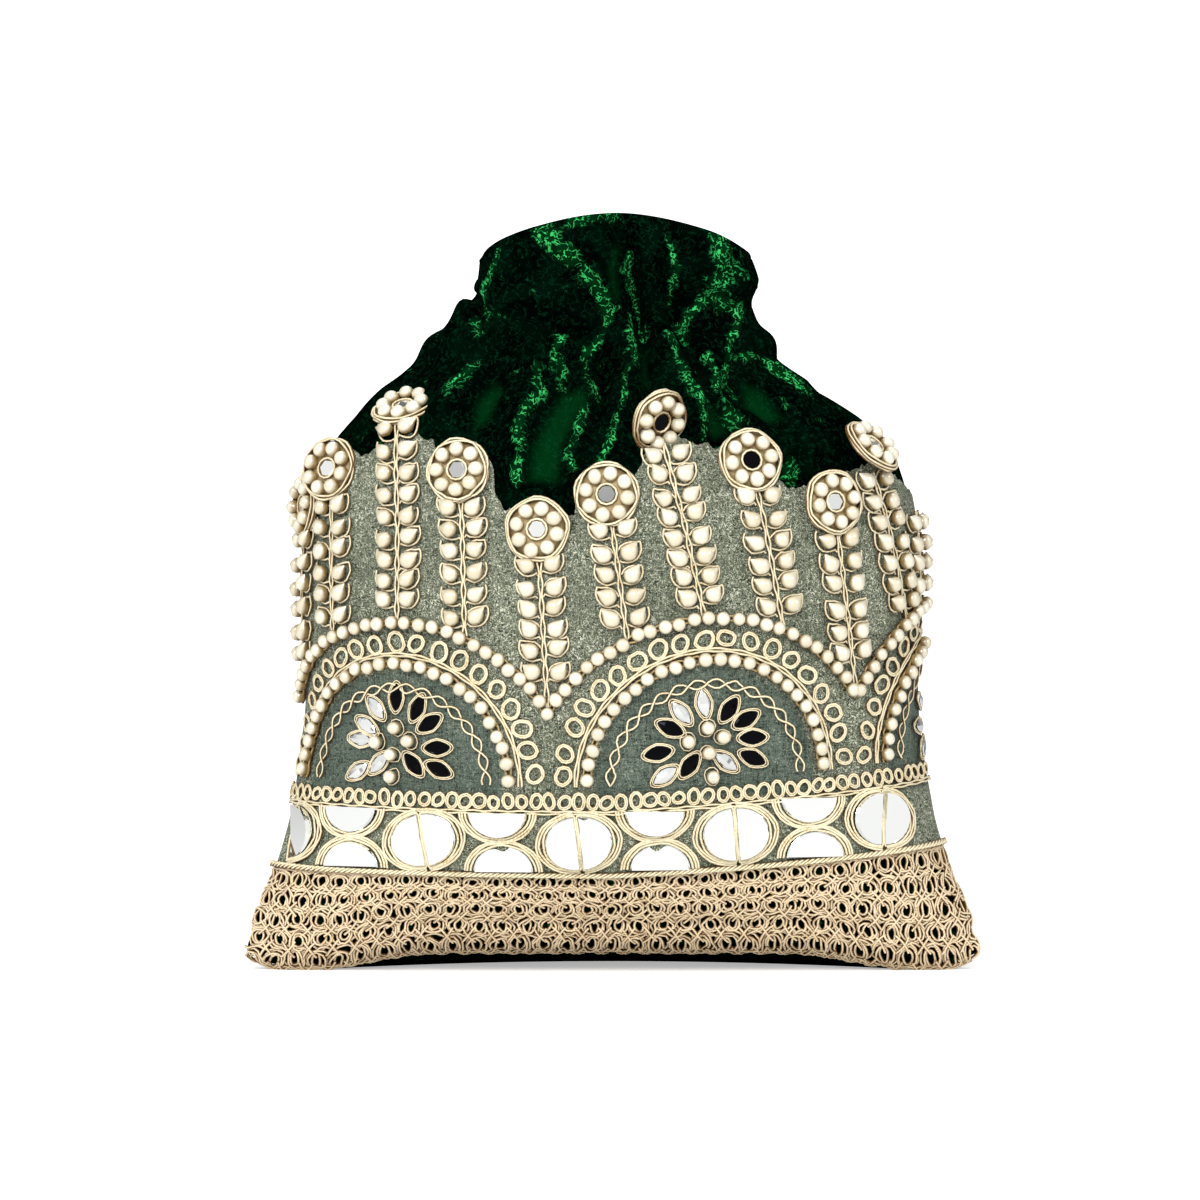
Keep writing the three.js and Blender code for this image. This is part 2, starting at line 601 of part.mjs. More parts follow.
// A head is a round rosette of pearls with a lobe for each, raised to a small flat in the middle.
function headGeometry(s, z) {
  const sides = HEAD_LOBES * 2;
  const ring = (share, lift) =>
    Array.from({ length: sides }, (_, k) => {
      const radius = HEAD_RADIUS * share * (k % 2 ? 0.88 : 1);
      const turn = (k / sides) * 2 * Math.PI;
      return over(s + radius * Math.cos(turn), z + radius * Math.sin(turn), SEAT + lift);
    });
  return loft(over(s, z, SEAT), [ring(1, 0), ring(0.86, HEAD_THICKNESS)], over(s, z, SEAT + HEAD_THICKNESS * 0.75));
}
STEMS.forEach((stem, k) => {
  add(`bead_stem_${k + 1}`, stemGeometry(stem), pearl);
  add(`stem_head_${k + 1}`, headGeometry(stem.top, stem.head), pearl);
});

// Under each arch stands a spray: petals of cut mirror round a cluster of pearls, on one backing. The
// last arch's spray is cut off where the cloth ends, and has no notches between its petals.
function sprayGeometry(centre, z) {
  const notch = centre + SPRAY_HALF_WIDTH < CLOTH_END ? 0.62 : 1;
  const tips = Array.from({ length: PETALS * 2 }, (_, k) => {
    const turn = (k / (PETALS * 2)) * 2 * Math.PI;
    const radius = k % 2 ? notch : 1;
    return [centre + SPRAY_HALF_WIDTH * radius * Math.cos(turn), z + SPRAY_HALF_HEIGHT * radius * Math.sin(turn)];
  }).filter(([s]) => s < CLOTH_END);
  const middle = tips.reduce((sum, [s]) => sum + s, 0) / tips.length;
  const ring = (share, lift) => tips.map(([s, up]) => over(mix(middle, s, share), mix(z, up, share), SEAT + lift));
  const peak = over(middle, z, SEAT + PEARL_DIAMETER * 0.8);
  return loft(over(middle, z, SEAT), [ring(1, 0), ring(0.9, MIRROR_THICKNESS)], peak);
}
archCentres.forEach((centre, k) => {
  add(`mirror_spray_${k + 1}`, sprayGeometry(centre, SPRAY_HEIGHT + rise(centre)), mirror);
});

// Half a round mirror, cut straight along one side: `facing` turns its round side, 0 being towards +X.
const MIRROR_STEPS = 6;
function halfMirror({ s, z, facing, depth }) {
  const place = (turn, share, lift) => {
    const across = Math.sin(turn) * MIRROR_RADIUS * share;
    const out = Math.cos(turn) * depth * share;
    const [cosine, sine] = [Math.cos(facing), Math.sin(facing)];
    return over(s + out * cosine - across * sine, z + out * sine + across * cosine + rise(s), lift);
  };
  const outline = (lift) =>
    Array.from({ length: MIRROR_STEPS + 1 }, (_, k) => place(((k / MIRROR_STEPS) * 2 - 1) * RIGHT_ANGLE, 1, lift));
  const [low, high] = [SEAT + 0.2, SEAT + 0.2 + MIRROR_THICKNESS];
  return loft(place(0, 0.4, low), [outline(low), outline(high)], place(0, 0.4, high));
}

// Split rounds take turns with halves set back to back.
const halves = [-2, -1, 0, 1, 2].flatMap((k) => {
  const round = MIRROR_OFFSET + k * MIRROR_PITCH;
  const pair = round + MIRROR_PITCH / 2;
  const z = MIRROR_CENTRE_HEIGHT;
  return [
    { s: round - MIRROR_SPLIT / 2, z, facing: Math.PI, depth: MIRROR_RADIUS },
    { s: round + MIRROR_SPLIT / 2, z, facing: 0, depth: MIRROR_RADIUS },
    { s: pair, z: z + MOONS_APART / 2, facing: -RIGHT_ANGLE, depth: MOON_HEIGHT },
    { s: pair, z: z - MOONS_APART / 2, facing: RIGHT_ANGLE, depth: MOON_HEIGHT },
  ];
});
const MIRROR_END = seamReach(MIRROR_CENTRE_HEIGHT) - BORDER_MARGIN;
const reachOf = ({ s, facing, depth }) =>
  Math.max(Math.abs(s + depth * Math.cos(facing)), Math.abs(s) + MIRROR_RADIUS * Math.abs(Math.sin(facing)));
halves
  .filter((half) => reachOf(half) < MIRROR_END)
  .forEach((half, k) => add(`half_mirror_${k + 1}`, halfMirror(half), mirror));

// The origin lies under the middle of the whole bag, with what is sewn on its front.
const middle = new THREE.Box3().setFromObject(bag).getCenter(new THREE.Vector3());
for (const piece of bag.children) {
  piece.position.x -= middle.x;
  piece.position.y -= middle.y;
}

export default bag;
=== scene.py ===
import math

import bpy
import numpy as np
from mathutils import Matrix, Vector, kdtree


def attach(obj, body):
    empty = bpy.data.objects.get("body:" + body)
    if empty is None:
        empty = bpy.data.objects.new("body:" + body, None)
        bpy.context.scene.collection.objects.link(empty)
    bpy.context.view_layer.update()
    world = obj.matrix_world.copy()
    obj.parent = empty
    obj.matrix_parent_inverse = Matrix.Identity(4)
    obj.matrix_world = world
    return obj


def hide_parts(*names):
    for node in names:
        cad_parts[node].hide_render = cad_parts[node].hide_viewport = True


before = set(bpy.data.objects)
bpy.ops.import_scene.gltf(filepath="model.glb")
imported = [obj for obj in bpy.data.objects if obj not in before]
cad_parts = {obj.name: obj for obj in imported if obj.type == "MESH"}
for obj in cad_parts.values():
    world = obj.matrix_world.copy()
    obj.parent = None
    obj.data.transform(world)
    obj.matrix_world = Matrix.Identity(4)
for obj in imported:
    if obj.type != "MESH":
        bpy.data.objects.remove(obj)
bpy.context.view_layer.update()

# The camera stands in front of the bag, a little above its middle, as for a catalogue picture. The bag
# is seen nearly square on, with its base on a white surface.
photo_width = 0.3475
camera_distance = 2.0
camera_rise = math.radians(2.0)
looked_at = Vector((-0.0035, -0.02, 0.1073))
camera_data = bpy.data.cameras.new("camera")
camera_data.lens = camera_data.sensor_width * camera_distance / photo_width
camera = bpy.data.objects.new("camera", camera_data)
bpy.context.scene.collection.objects.link(camera)
away = Vector((0.0, -math.cos(camera_rise), math.sin(camera_rise)))
camera.location = looked_at + away * camera_distance
camera.rotation_euler = (-away).to_track_quat("-Z", "Y").to_euler()
bpy.context.scene.camera = camera
bpy.context.scene.view_settings.view_transform = "Standard"

# A white sweep stands under and behind the bag, and it glows a little, more so farther off, to stay white
# in every view. A soft lamp a little above the camera lights the bag, weaker ones stand at both sides and
# behind, and the room is bright only in front, as the mirrors show.


def plain_material(name, colour, roughness, metallic=0.0):
    material = bpy.data.materials.new(name)
    material.use_nodes = True
    surface = material.node_tree.nodes["Principled BSDF"]
    surface.inputs["Base Color"].default_value = (*colour, 1.0)
    surface.inputs["Roughness"].default_value = roughness
    surface.inputs["Metallic"].default_value = metallic
    return material, material.node_tree, surface


def mesh_object(name, points, faces, material=None, smooth=True):
    mesh = bpy.data.meshes.new(name)
    mesh.from_pydata([tuple(p) for p in points], [], [tuple(f) for f in faces])
    mesh.polygons.foreach_set("use_smooth", [smooth] * len(mesh.polygons))
    mesh.update()
    if material:
        mesh.materials.append(material)
    thing = bpy.data.objects.new(name, mesh)
    bpy.context.scene.collection.objects.link(thing)
    return thing


def feed(tree, value, socket):
    """Links a node, or the numbered output of a (node, number) pair, or sets a plain value."""
    if isinstance(value, bpy.types.Node):
        value = (value, 0)
    if isinstance(value, tuple) and isinstance(value[0], bpy.types.Node):
        tree.links.new(value[0].outputs[value[1]], socket)
    else:
        socket.default_value = value


def add_node(tree, kind, **inputs):
    """A node with its settings (set_...) and its inputs, which go by name or, as _0, by number."""
    node = tree.nodes.new(kind)
    for key in [key for key in inputs if key.startswith("set_")]:
        setattr(node, key[4:], inputs.pop(key))
    for key, value in inputs.items():
        feed(tree, value, node.inputs[int(key[1:]) if key[0] == "_" else key.replace("_", " ")])
    return node


def math_node(tree, operation, *values):
    inputs = {"_%d" % k: value for k, value in enumerate(values)}
    return add_node(tree, "ShaderNodeMath", set_operation=operation, **inputs)


def map_range(tree, value, *limits):
    """Maps a value from the range of the first two limits to that of the last two."""
    inputs = dict(zip(("From_Min", "From_Max", "To_Min", "To_Max"), limits))
    return add_node(tree, "ShaderNodeMapRange", _0=value, **inputs)


paper, paper_tree, paper_surface = plain_material("white_paper", (0.93, 0.93, 0.93), 0.9)
seen = add_node(paper_tree, "ShaderNodeLightPath")
paper_place = add_node(paper_tree, "ShaderNodeTexCoord")
far_off = add_node(paper_tree, "ShaderNodeVectorMath", set_operation="LENGTH", _0=(paper_place, 3))
whiter = map_range(paper_tree, (far_off, 1), 0.5, 1.6, 0.42, 1.0)
glow = math_node(paper_tree, "MULTIPLY", seen, whiter)
feed(paper_tree, glow, paper_surface.inputs["Emission Strength"])
paper_surface.inputs["Emission Color"].default_value = (1.0, 1.0, 1.0, 1.0)
sweep_radius = 0.5
sweep_reach = 4.0
sweep_back = 3.4
sweep_profile = [(-sweep_reach, 0.0), (sweep_back, 0.0)]
for step in range(1, 13):
    turn = step / 12 * math.pi / 2
    sweep_profile.append((sweep_back + sweep_radius * math.sin(turn), sweep_radius * (1 - math.cos(turn))))
sweep_profile.append((sweep_back + sweep_radius, sweep_reach))
sweep_points = [(x, y, z) for y, z in sweep_profile for x in (-sweep_reach, sweep_reach)]
sweep_faces = [(2 * k, 2 * k + 1, 2 * k + 3, 2 * k + 2) for k in range(len(sweep_profile) - 1)]
sweep = mesh_object("white_sweep", sweep_points, sweep_faces, paper)

for name, place, size, power in (
    ("front_lamp", (-0.25, -1.9, 1.05), 1.0, 25.0),
    ("left_lamp", (-1.5, -1.1, 1.2), 0.5, 11.0),
    ("right_lamp", (1.5, -0.9, 1.0), 0.5, 8.0),
    ("back_lamp", (0.0, 0.6, 1.9), 1.2, 14.0),
):
    lamp_data = bpy.data.lights.new(name, "AREA")
    lamp_data.shape = "DISK"
    lamp_data.size = size
    lamp_data.energy = power
    lamp = bpy.data.objects.new(name, lamp_data)
    lamp.location = place
    lamp.rotation_euler = (Vector((0, 0, 0.1)) - Vector(place)).to_track_quat("-Z", "Y").to_euler()
    bpy.context.scene.collection.objects.link(lamp)


world = bpy.data.worlds.new("studio")
bpy.context.scene.world = world
world.use_nodes = True
sky = world.node_tree.nodes["Background"]
sky.inputs["Color"].default_value = (1.0, 1.0, 1.0, 1.0)
room = world.node_tree
rays = add_node(room, "ShaderNodeLightPath")
way = add_node(room, "ShaderNodeTexCoord")
apart = add_node(room, "ShaderNodeSeparateXYZ", _0=(way, 0))
ahead = map_range(room, (apart, 1), 0.3, -0.2, 0.2, 1.0)
mirrored = math_node(room, "MULTIPLY", (rays, 3), ahead)
spread = math_node(room, "MULTIPLY_ADD", (rays, 2), 0.28, mirrored)
strength = math_node(room, "ADD", (rays, 0), spread)
feed(room, strength, sky.inputs["Strength"])

# The bag itself: two panels of crushed velvet with a metallic thread, sewn down the sides and along
# the bottom. Its corners stand out as ears, and above the shoulders a drawn channel makes the neck,
# with a frill over it. Each section is level, and its shape eases from one height to the next.
mm = 0.001
right_angle = math.pi / 2
ear_half_width = 104.0
foot_half_width = 92.0
waist_half_width = 87.3
neck_half_width = 42.2
frill_half_width = 42.8
ear_half_depth = 43.0
foot_half_depth = 22.0
belly_half_depth = 51.0
neck_half_depth = 21.0
frill_half_depth = 27.0
turn_height = 2.4
ear_height = 11.2
waist_height = 70.0
shoulder_height = 130.0
casing_height = 192.0
rim_height = 219.2
rim_drop = 13.5
back_rim_drop = 5.0
front_lift = 4.8
seam_set_back = 8.0
ear_bow = 28.0
foot_fold = 5.0
middle_shift = 2.05
velvet_thickness = 1.6
groove_height = 187.5
hem_depth = 1.7


def mix(low, high, share):
    return low + (high - low) * share


def ease(value, low, high):
    share = np.clip((np.asarray(value, float) - low) / (high - low), 0, 1)
    return share * share * (3 - 2 * share)


def shoulder_section(share, across):
    wide = mix(neck_half_width, waist_half_width, across)
    deep = mix(neck_half_depth, belly_half_depth, across * 0.9)
    return mix(shoulder_height, casing_height, share), wide, deep, 1.0, 0.0


def foot_section(share, width, depth, lens):
    wide = mix(waist_half_width, ear_half_width, width)
    deep = mix(ear_half_depth, belly_half_depth, depth)
    return mix(ear_height, waist_height, share), wide, deep, lens, 0.0


turn_half_width = mix(foot_half_width, ear_half_width, 0.8)
turn_half_depth = mix(foot_half_depth, ear_half_depth, 0.55)
# height, half width, half depth, how pointed the ends are, and how lobed the frill is
sections = np.array(
    [
        (0.0, foot_half_width, foot_half_depth, 1.5, 0.0),
        (turn_height, turn_half_width, turn_half_depth, 1.6, 0.0),
        (ear_height, ear_half_width, ear_half_depth, 1.55, 0.0),
        foot_section(0.3, 0.6, 0.6, 1.3),
        foot_section(0.62, 0.3, 0.9, 1.12),
        (waist_height, mix(waist_half_width, ear_half_width, 0.1), belly_half_depth, 1.0, 0.0),
        shoulder_section(0.0, 1.0),
        shoulder_section(0.2, 0.95),
        shoulder_section(0.35, 0.86),
        shoulder_section(0.48, 0.7),
        shoulder_section(0.6, 0.5),
        shoulder_section(0.7, 0.28),
        shoulder_section(0.85, 0.17),
        (casing_height, neck_half_width, neck_half_depth, 1.0, 0.0),
        (mix(casing_height, rim_height, 0.5), frill_half_width, frill_half_depth, 1.0, 0.06),
        (rim_height, frill_half_width - 1, frill_half_depth + 1, 1.0, 0.06),
    ]
)
knots = sections[:, 0]
# how far the neck leans to the right at some heights
lean_heights = [130, 160, 173, 182, 192, 200, 207, rim_height]
neck_lean = [0, -1.5, -4.8, -3.2, -0.6, 1.6, 2.5, 1.0]


def eased(heights, column):
    values = sections[:, column]
    slopes = np.gradient(values, knots)
    low = np.clip(np.searchsorted(knots, heights) - 1, 0, len(knots) - 2)
    span = knots[low + 1] - knots[low]
    t = np.clip((heights - knots[low]) / span, 0, 1)
    start = (1 + 2 * t) * (1 - t) ** 2 * values[low] + t * (1 - t) ** 2 * span * slopes[low]
    return start + t * t * (3 - 2 * t) * values[low + 1] + t * t * (t - 1) * span * slopes[low + 1]


def smooth_skin(angle, height):
    """Points of the bag's outside in millimetres, before its folds. Angle 0 is the front's middle."""
    angle, height = np.broadcast_arrays(np.asarray(angle, float), np.asarray(height, float))
    wide, deep, lens, lobe = (eased(height, column) for column in (1, 2, 3, 4))
    swell = 1 - lobe * np.cos(4 * angle)
    cosine = np.cos(angle)
    x = wide * np.sin(angle) * swell
    depth = deep * np.sign(cosine) * np.abs(cosine) ** lens * swell
    seam = (1 - ease(height, 0, waist_height)) * (seam_set_back - ear_bow * np.sin(angle) ** 2)
    y = seam - depth
    across = 1 - ease(np.abs(x), ear_half_width * 0.5, ear_half_width * 0.86)
    forward = 1 - ease(y, -foot_half_depth, seam_set_back - 3)
    down = 1 - ease(height, ear_height, ear_height * 3)
    share = np.clip((height - casing_height) / (rim_height - casing_height), 0, 1)
    drop = rim_drop * np.sin(angle) ** 2 * share
    drop = drop + back_rim_drop * ease(-cosine, -0.1, 0.5) * share
    lean = np.interp(height, lean_heights, neck_lean)
    return np.stack([x + lean, y + middle_shift, height + front_lift * across * forward * down - drop], -1)


# The folds: each is a line over the front, in millimetres across and up, with its height off the cloth
# and its half width. Ridges stand out, and creases, with a negative height, go in.
front_folds = [
    (-4.5, 2.2, [(1.4, 216), (5.4, 206), (6.7, 194), (8.7, 186), (10.7, 181), (11, 166)]),
    (3.2, 3.6, [(-3.5, 213), (-0.5, 200), (1.5, 189), (4.5, 179), (1.5, 167)]),
    (-4.0, 2.2, [(-38.6, 194), (-37, 187), (-32, 183.5), (-25, 183.5), (-19, 186), (-13, 187), (-4, 186)]),
    (2.6, 3.2, [(-3.3, 186), (-7.3, 177), (-8.7, 167)]),
    (2.2, 2.6, [(-14.6, 185), (-16.5, 179), (-13.9, 174)]),
    (-2.4, 2.0, [(-10.5, 185), (-11.5, 177), (-12.5, 170)]),
    (-2.6, 2.0, [(1.0, 186), (-2.0, 176), (-3.0, 164)]),
    (3.0, 3.0, [(16, 184), (20, 174), (25, 166), (25, 154)]),
    (2.6, 2.8, [(26.7, 178), (30, 170), (31.3, 162)]),
    (-2.8, 2.2, [(22, 183), (25.5, 174), (28, 164)]),
    (-2.6, 2.2, [(34.5, 182), (34.5, 166)]),
    (2.6, 3.2, [(35.4, 178), (44.7, 173), (54, 167)]),
    (-2.6, 3.0, [(33, 168), (41, 164), (50, 158)]),
    (2.6, 4.0, [(25.2, 209), (31.3, 198), (26.7, 189)]),
    (2.4, 3.0, [(35.4, 198), (35.4, 186), (32, 179)]),
    (-2.6, 3.0, [(14, 207), (17, 196), (20, 188)]),
    (-2.2, 2.4, [(31, 196), (31.5, 186)]),
    (3.4, 5.0, [(-20, 214), (-12.6, 208), (-7.3, 203), (-3.2, 197), (-2, 190)]),
    (3.0, 3.6, [(-21.3, 175), (-24.7, 163), (-27.3, 153), (-26.7, 143)]),
    (2.6, 3.2, [(-7.3, 166), (-10.7, 154), (-11.3, 144)]),
    (-1.6, 5.0, [(-14.5, 168), (-18, 156), (-19, 146)]),
    (2.2, 2.8, [(3.4, 165), (0.7, 154), (-4, 147)]),
    (-2.2, 2.4, [(-3.5, 164), (-5.5, 154), (-7, 147)]),
    (2.4, 3.4, [(-37, 176), (-46, 166), (-53, 156)]),
    (-2.2, 3.2, [(-30, 177), (-37, 166), (-42, 154)]),
    (2.4, 3.0, [(25, 166), (38.6, 159.5), (47, 151)]),
    (-2.0, 3.2, [(29, 158), (38, 151), (44, 144)]),
    (-1.8, 2.6, [(12.5, 176), (15.5, 165), (17, 155)]),
]
# wide swellings: each one's middle, its half width and half height, and its height off the cloth
lobe_bumps = [
    ((-27.0, 194.0), (11.0, 8.0), 4.5),
    ((38.0, 181.0), (8.0, 8.0), 2.5),
    ((-46.0, 191.0), (9.0, 6.0), 4.5),
]
# the back has the front's folds mirrored, a little narrower, lower and shifted
back_shift = 3.0
back_narrowing = 0.96
back_rise = 1.5
back_share = 0.8


def distance_to_line(x, z, line):
    nearest = np.full(x.shape, 1e9)
    for (ax, az), (bx, bz) in zip(line, line[1:]):
        length = (bx - ax) ** 2 + (bz - az) ** 2
        t = np.clip(((x - ax) * (bx - ax) + (z - az) * (bz - az)) / length, 0, 1)
        nearest = np.minimum(nearest, np.hypot(x - ax - t * (bx - ax), z - az - t * (bz - az)))
    return nearest


def bell(value, middle, half_width):
    return np.exp(-(((value - middle) / half_width) ** 2))


def fold_height(angle, height, x, z):
    """How far the folds lift the cloth, in millimetres."""
    front = ease(np.cos(angle), 0.0, 0.25)
    back = ease(-np.cos(angle), 0.0, 0.25)
    lift = np.zeros(x.shape)
    for size, half_width, line in front_folds:
        lift += front * size * bell(distance_to_line(x, z, line), 0, half_width)
        mirrored = [(back_shift - px * back_narrowing, pz + back_rise) for px, pz in line]
        lift += back * size * back_share * bell(distance_to_line(x, z, mirrored), 0, half_width)
    for (cx, cz), (wide, high), size in lobe_bumps:
        lift += front * size * np.exp(-(((x - cx) / wide) ** 2) - (((z - cz) / high) ** 2))
    chance = np.random.default_rng(7)
    gathers = np.zeros(x.shape)
    for count in (17, 23, 29, 34, 41, 53):
        gathers += np.sin(count * angle + chance.uniform(0, 2 * math.pi) + 0.04 * (height - 185)) / 2.4
    lift += 1.15 * gathers * bell(height, 183, 11.0) * (1 - 0.35 * front)
    folds = np.zeros(x.shape)
    for count in (7, 11, 13, 19):
        folds += np.sin(count * angle + chance.uniform(0, 2 * math.pi)) / 2
    lift += 1.3 * folds * bell(height, 170, 16.0) * (1 - 0.5 * front)
    lift += 0.9 * folds * bell(height, 208, 10.0) * (1 - 0.6 * front)
    lift -= 1.7 * bell(height, groove_height, 3.4)
    lift -= 0.4 * bell(height, rim_height - hem_depth, 0.45)
    for count, rise in ((5, 0.021), (9, 0.034), (14, 0.05)):
        wave = np.sin(count * angle + chance.uniform(0, 2 * math.pi) + rise * height)
        lift += 0.35 * wave * np.sin(height * rise * 2.3 + chance.uniform(0, 6)) * ease(height, 20, 60)
    return lift


velvet_columns = 336
foot_levels = [0.0, 0.8, 2.4, 5.0, 8.0, 11.2, 15.0, 20.0]
body_levels, neck_levels = np.arange(25, 130, 5.0), np.arange(130, 216, 0.92)
outer_heights = np.concatenate([foot_levels, body_levels, neck_levels, np.linspace(216, rim_height, 10)])
inner_levels = np.arange(rim_height - 0.4, 180, -1.3), np.arange(180, 20, -8.0), [12.0, 5.0, 1.8]
inner_heights = np.concatenate(inner_levels)
turns = np.arange(velvet_columns) / velvet_columns * 2 * math.pi
# painted highlights where the metallic thread glints: a width and a line, and the half width that a unit of
# it stands for
painted_glint_half_width = 0.8
painted_glint_lines = [
    (4.5, [(-20, 213.6), (-9.7, 205.5)]),
    (2.8, [(-9.7, 205.5), (-4.5, 200.3), (-2.3, 195.2), (-1.6, 189.2)]),
    (3.0, [(-11.2, 217.3), (-0.1, 218)]),
    (4.6, [(31.4, 213.6), (31.4, 194.4)]),
    (2.2, [(26.6, 194.4), (20.6, 187.7), (21.4, 181.8)]),
    (2.0, [(34.7, 193.6), (35.4, 187), (32.5, 180.3), (32.5, 174.4), (32.5, 163.3)]),
    (2.0, [(35.4, 177.4), (42.1, 175.2), (49.5, 170), (54.5, 167)]),
    (1.6, [(5.1, 207), (4.4, 201.8), (5.5, 196.6), (8.1, 190.7), (9.6, 184)]),
    (1.7, [(1.4, 190.7), (-2.3, 186.2), (-4.6, 180.3), (-8.2, 177.4), (-7.5, 171.5), (-4.6, 167)]),
    (1.5, [(5.1, 189.2), (5.5, 181.8), (6.6, 175.9), (3.6, 171.5)]),
    (1.5, [(3.6, 171.5), (3.6, 165.6), (1.4, 159.6), (-0.1, 154.5), (-3.8, 147)]),
    (1.7, [(16.2, 183.3), (19.1, 175.9), (22.1, 169.2), (24.3, 165.6), (25.8, 159.6), (25.8, 153.7)]),
    (1.5, [(26.6, 177.4), (29.5, 172.9), (30.2, 167.8)]),
    (4.2, [(33.7, 160.6), (35.7, 158.6)]),
    (2.0, [(-17.8, 184.8), (-14.2, 183.3), (-17.1, 178.1), (-14.2, 173.7)]),
    (2.4, [(-21.5, 172.9), (-20, 167), (-24.5, 161.1), (-26.7, 156), (-26, 148.5), (-27.5, 141.1)]),
    (1.8, [(-8.2, 162.6), (-9.7, 155.2), (-13, 150), (-11.2, 145.6)]),
    (1.5, [(-39.3, 187.7), (-38.6, 184.2)]),
    (2.2, [(-37.8, 175.2), (-42.3, 170.8), (-46.7, 167)]),
    (4.0, [(50, 145.5), (52, 144)]),
    (1.4, [(-33, 208), (-36, 198), (-36.5, 190)]),
    (1.4, [(16, 212), (19, 202), (17, 193)]),
]
# smooth patches that face the light
lit_patches = [
    [(-0.9, 211.4), (3.6, 209.2), (2.1, 203.9), (3.6, 196.5), (1.4, 191.3), (-0.9, 196.5), (-2.3, 203.9)],
    [(-14.2, 171.5), (-4.6, 164.8), (-8.2, 159.6), (-12.7, 152), (-14.2, 140.4)]
    + [(-25.8, 140.4), (-24.5, 152), (-20, 161)],
    [(24.3, 168.5), (30.9, 161.1), (36.9, 159.6), (30.9, 153.7), (26.5, 153.7)],
    [(8, 181), (12, 178), (12, 170), (9, 164), (7, 171)],
    [(36, 172), (44, 169), (52, 160), (44, 158), (38, 163)],
    [(-34, 174), (-30, 168), (-35, 158), (-42, 156), (-41, 166)],
]


def inside_outline(x, z, outline):
    inside = np.zeros(x.shape, bool)
    for (ax, az), (bx, bz) in zip(outline, outline[1:] + outline[:1]):
        crossed = (az > z) != (bz > z)
        inside ^= crossed & (x < ax + (z - az) * (bx - ax) / (bz - az + 1e-9))
    return inside


def velvet_marks(x, z):
    """How much painted highlight of glinting metallic thread each point gets, and how much painted light of a
    smooth lit patch.
    """
    painted_glint, lit = np.zeros(x.shape), np.zeros(x.shape)
    for width, line in painted_glint_lines:
        painted_glint = np.maximum(painted_glint, bell(distance_to_line(x, z, line), 0, width * painted_glint_half_width))
    for outline in lit_patches:
        edge = distance_to_line(x, z, outline + outline[:1])
        lit = np.maximum(lit, np.where(inside_outline(x, z, outline), ease(edge, 0.0, 4.0), 0))
    return painted_glint, lit


def velvet_rows(heights, inset):
    rows = smooth_skin(turns[None, :], heights[:, None])
    along = np.roll(rows, -1, 1) - np.roll(rows, 1, 1)
    upward = np.gradient(rows, axis=0) * np.sign(heights[-1] - heights[0])
    outward = np.cross(along, upward)
    outward /= np.linalg.norm(outward, axis=-1, keepdims=True) + 1e-9
    x, z = rows[..., 0], rows[..., 2]
    angle, height = np.broadcast_arrays(turns[None, :], heights[:, None])
    lift = fold_height(angle, height, x, z)
    front_painted_glint, front_lit = velvet_marks(x, z)
    back_painted_glint, back_lit = velvet_marks((back_shift - x) / back_narrowing, z - back_rise)
    front = np.cos(angle) > 0
    marks = np.where(front, front_painted_glint, back_painted_glint), np.where(front, front_lit, back_lit)
    return rows + outward * (lift - inset)[..., None], marks


def bottom_rows(inset, shares):
    edge = smooth_skin(turns, np.zeros(velvet_columns))
    seam = seam_set_back - ear_bow * np.sin(turns) ** 2
    middle = np.stack([(foot_half_width - foot_fold - inset) * np.sin(turns), seam, 0 * turns], -1)
    rows = np.array([mix(middle, edge, share) for share in shares])
    rows[..., 2] += inset
    return rows


outer, outer_marks = velvet_rows(outer_heights, 0.0)
inner, inner_marks = velvet_rows(inner_heights, velvet_thickness)
inner[..., 2] = np.maximum(inner[..., 2], velvet_thickness)
layers = [bottom_rows(0.0, (0.0, 0.35, 0.7)), outer, inner, bottom_rows(velvet_thickness, (0.7, 0.0))]
velvet_points = np.concatenate(layers) * mm


def ring_faces(row_count, columns):
    """Faces between closed rows of points, each row joined to the next."""
    faces = []
    for row in range(row_count - 1):
        here, there = row * columns, (row + 1) * columns
        for column in range(columns):
            after = (column + 1) % columns
            faces.append((here + column, here + after, there + after, there + column))
    return faces


def colour_ramp(tree, factor, *stops):
    ramp = tree.nodes.new("ShaderNodeValToRGB")
    while len(ramp.color_ramp.elements) < len(stops):
        ramp.color_ramp.elements.new(0.5)
    for element, (place, colour) in zip(ramp.color_ramp.elements, stops):
        element.position = place
        element.color = (*colour, 1.0)
    feed(tree, factor, ramp.inputs["Fac"])
    return ramp


def blend_colours(tree, share, low, high, way="MIX"):
    """A colour mix whose share and colours may each be a value or a node."""
    mixed = tree.nodes.new("ShaderNodeMix")
    mixed.data_type = "RGBA"
    mixed.blend_type = way
    for socket, value in ((0, share), (6, low), (7, high)):
        if isinstance(value, tuple) and len(value) == 3:
            value = (*value, 1.0)
        feed(tree, value, mixed.inputs[socket])
    return mixed, 2


def object_place(tree):
    return add_node(tree, "ShaderNodeTexCoord"), 3


def point_value(tree, name, output=2):
    return add_node(tree, "ShaderNodeAttribute", set_attribute_name=name), output


def noise(tree, place, scale, detail, distortion=0.0):
    inputs = {"Vector": place, "Scale": scale, "Detail": detail, "Distortion": distortion}
    return add_node(tree, "ShaderNodeTexNoise", **inputs)


def curly_lines(tree, curls, solid, gone):
    """White along the lines where a noise crosses its middle value, and black farther from them."""
    off_line = math_node(tree, "SUBTRACT", curls, 0.5)
    return colour_ramp(tree, math_node(tree, "ABSOLUTE", off_line), (solid, (1, 1, 1)), (gone, (0, 0, 0)))


def finish_surface(tree, surface, colour, relief, strength, depth):
    feed(tree, colour, surface.inputs["Base Color"])
    bump = add_node(tree, "ShaderNodeBump", Strength=strength, Distance=depth, Height=relief)
    feed(tree, bump, surface.inputs["Normal"])


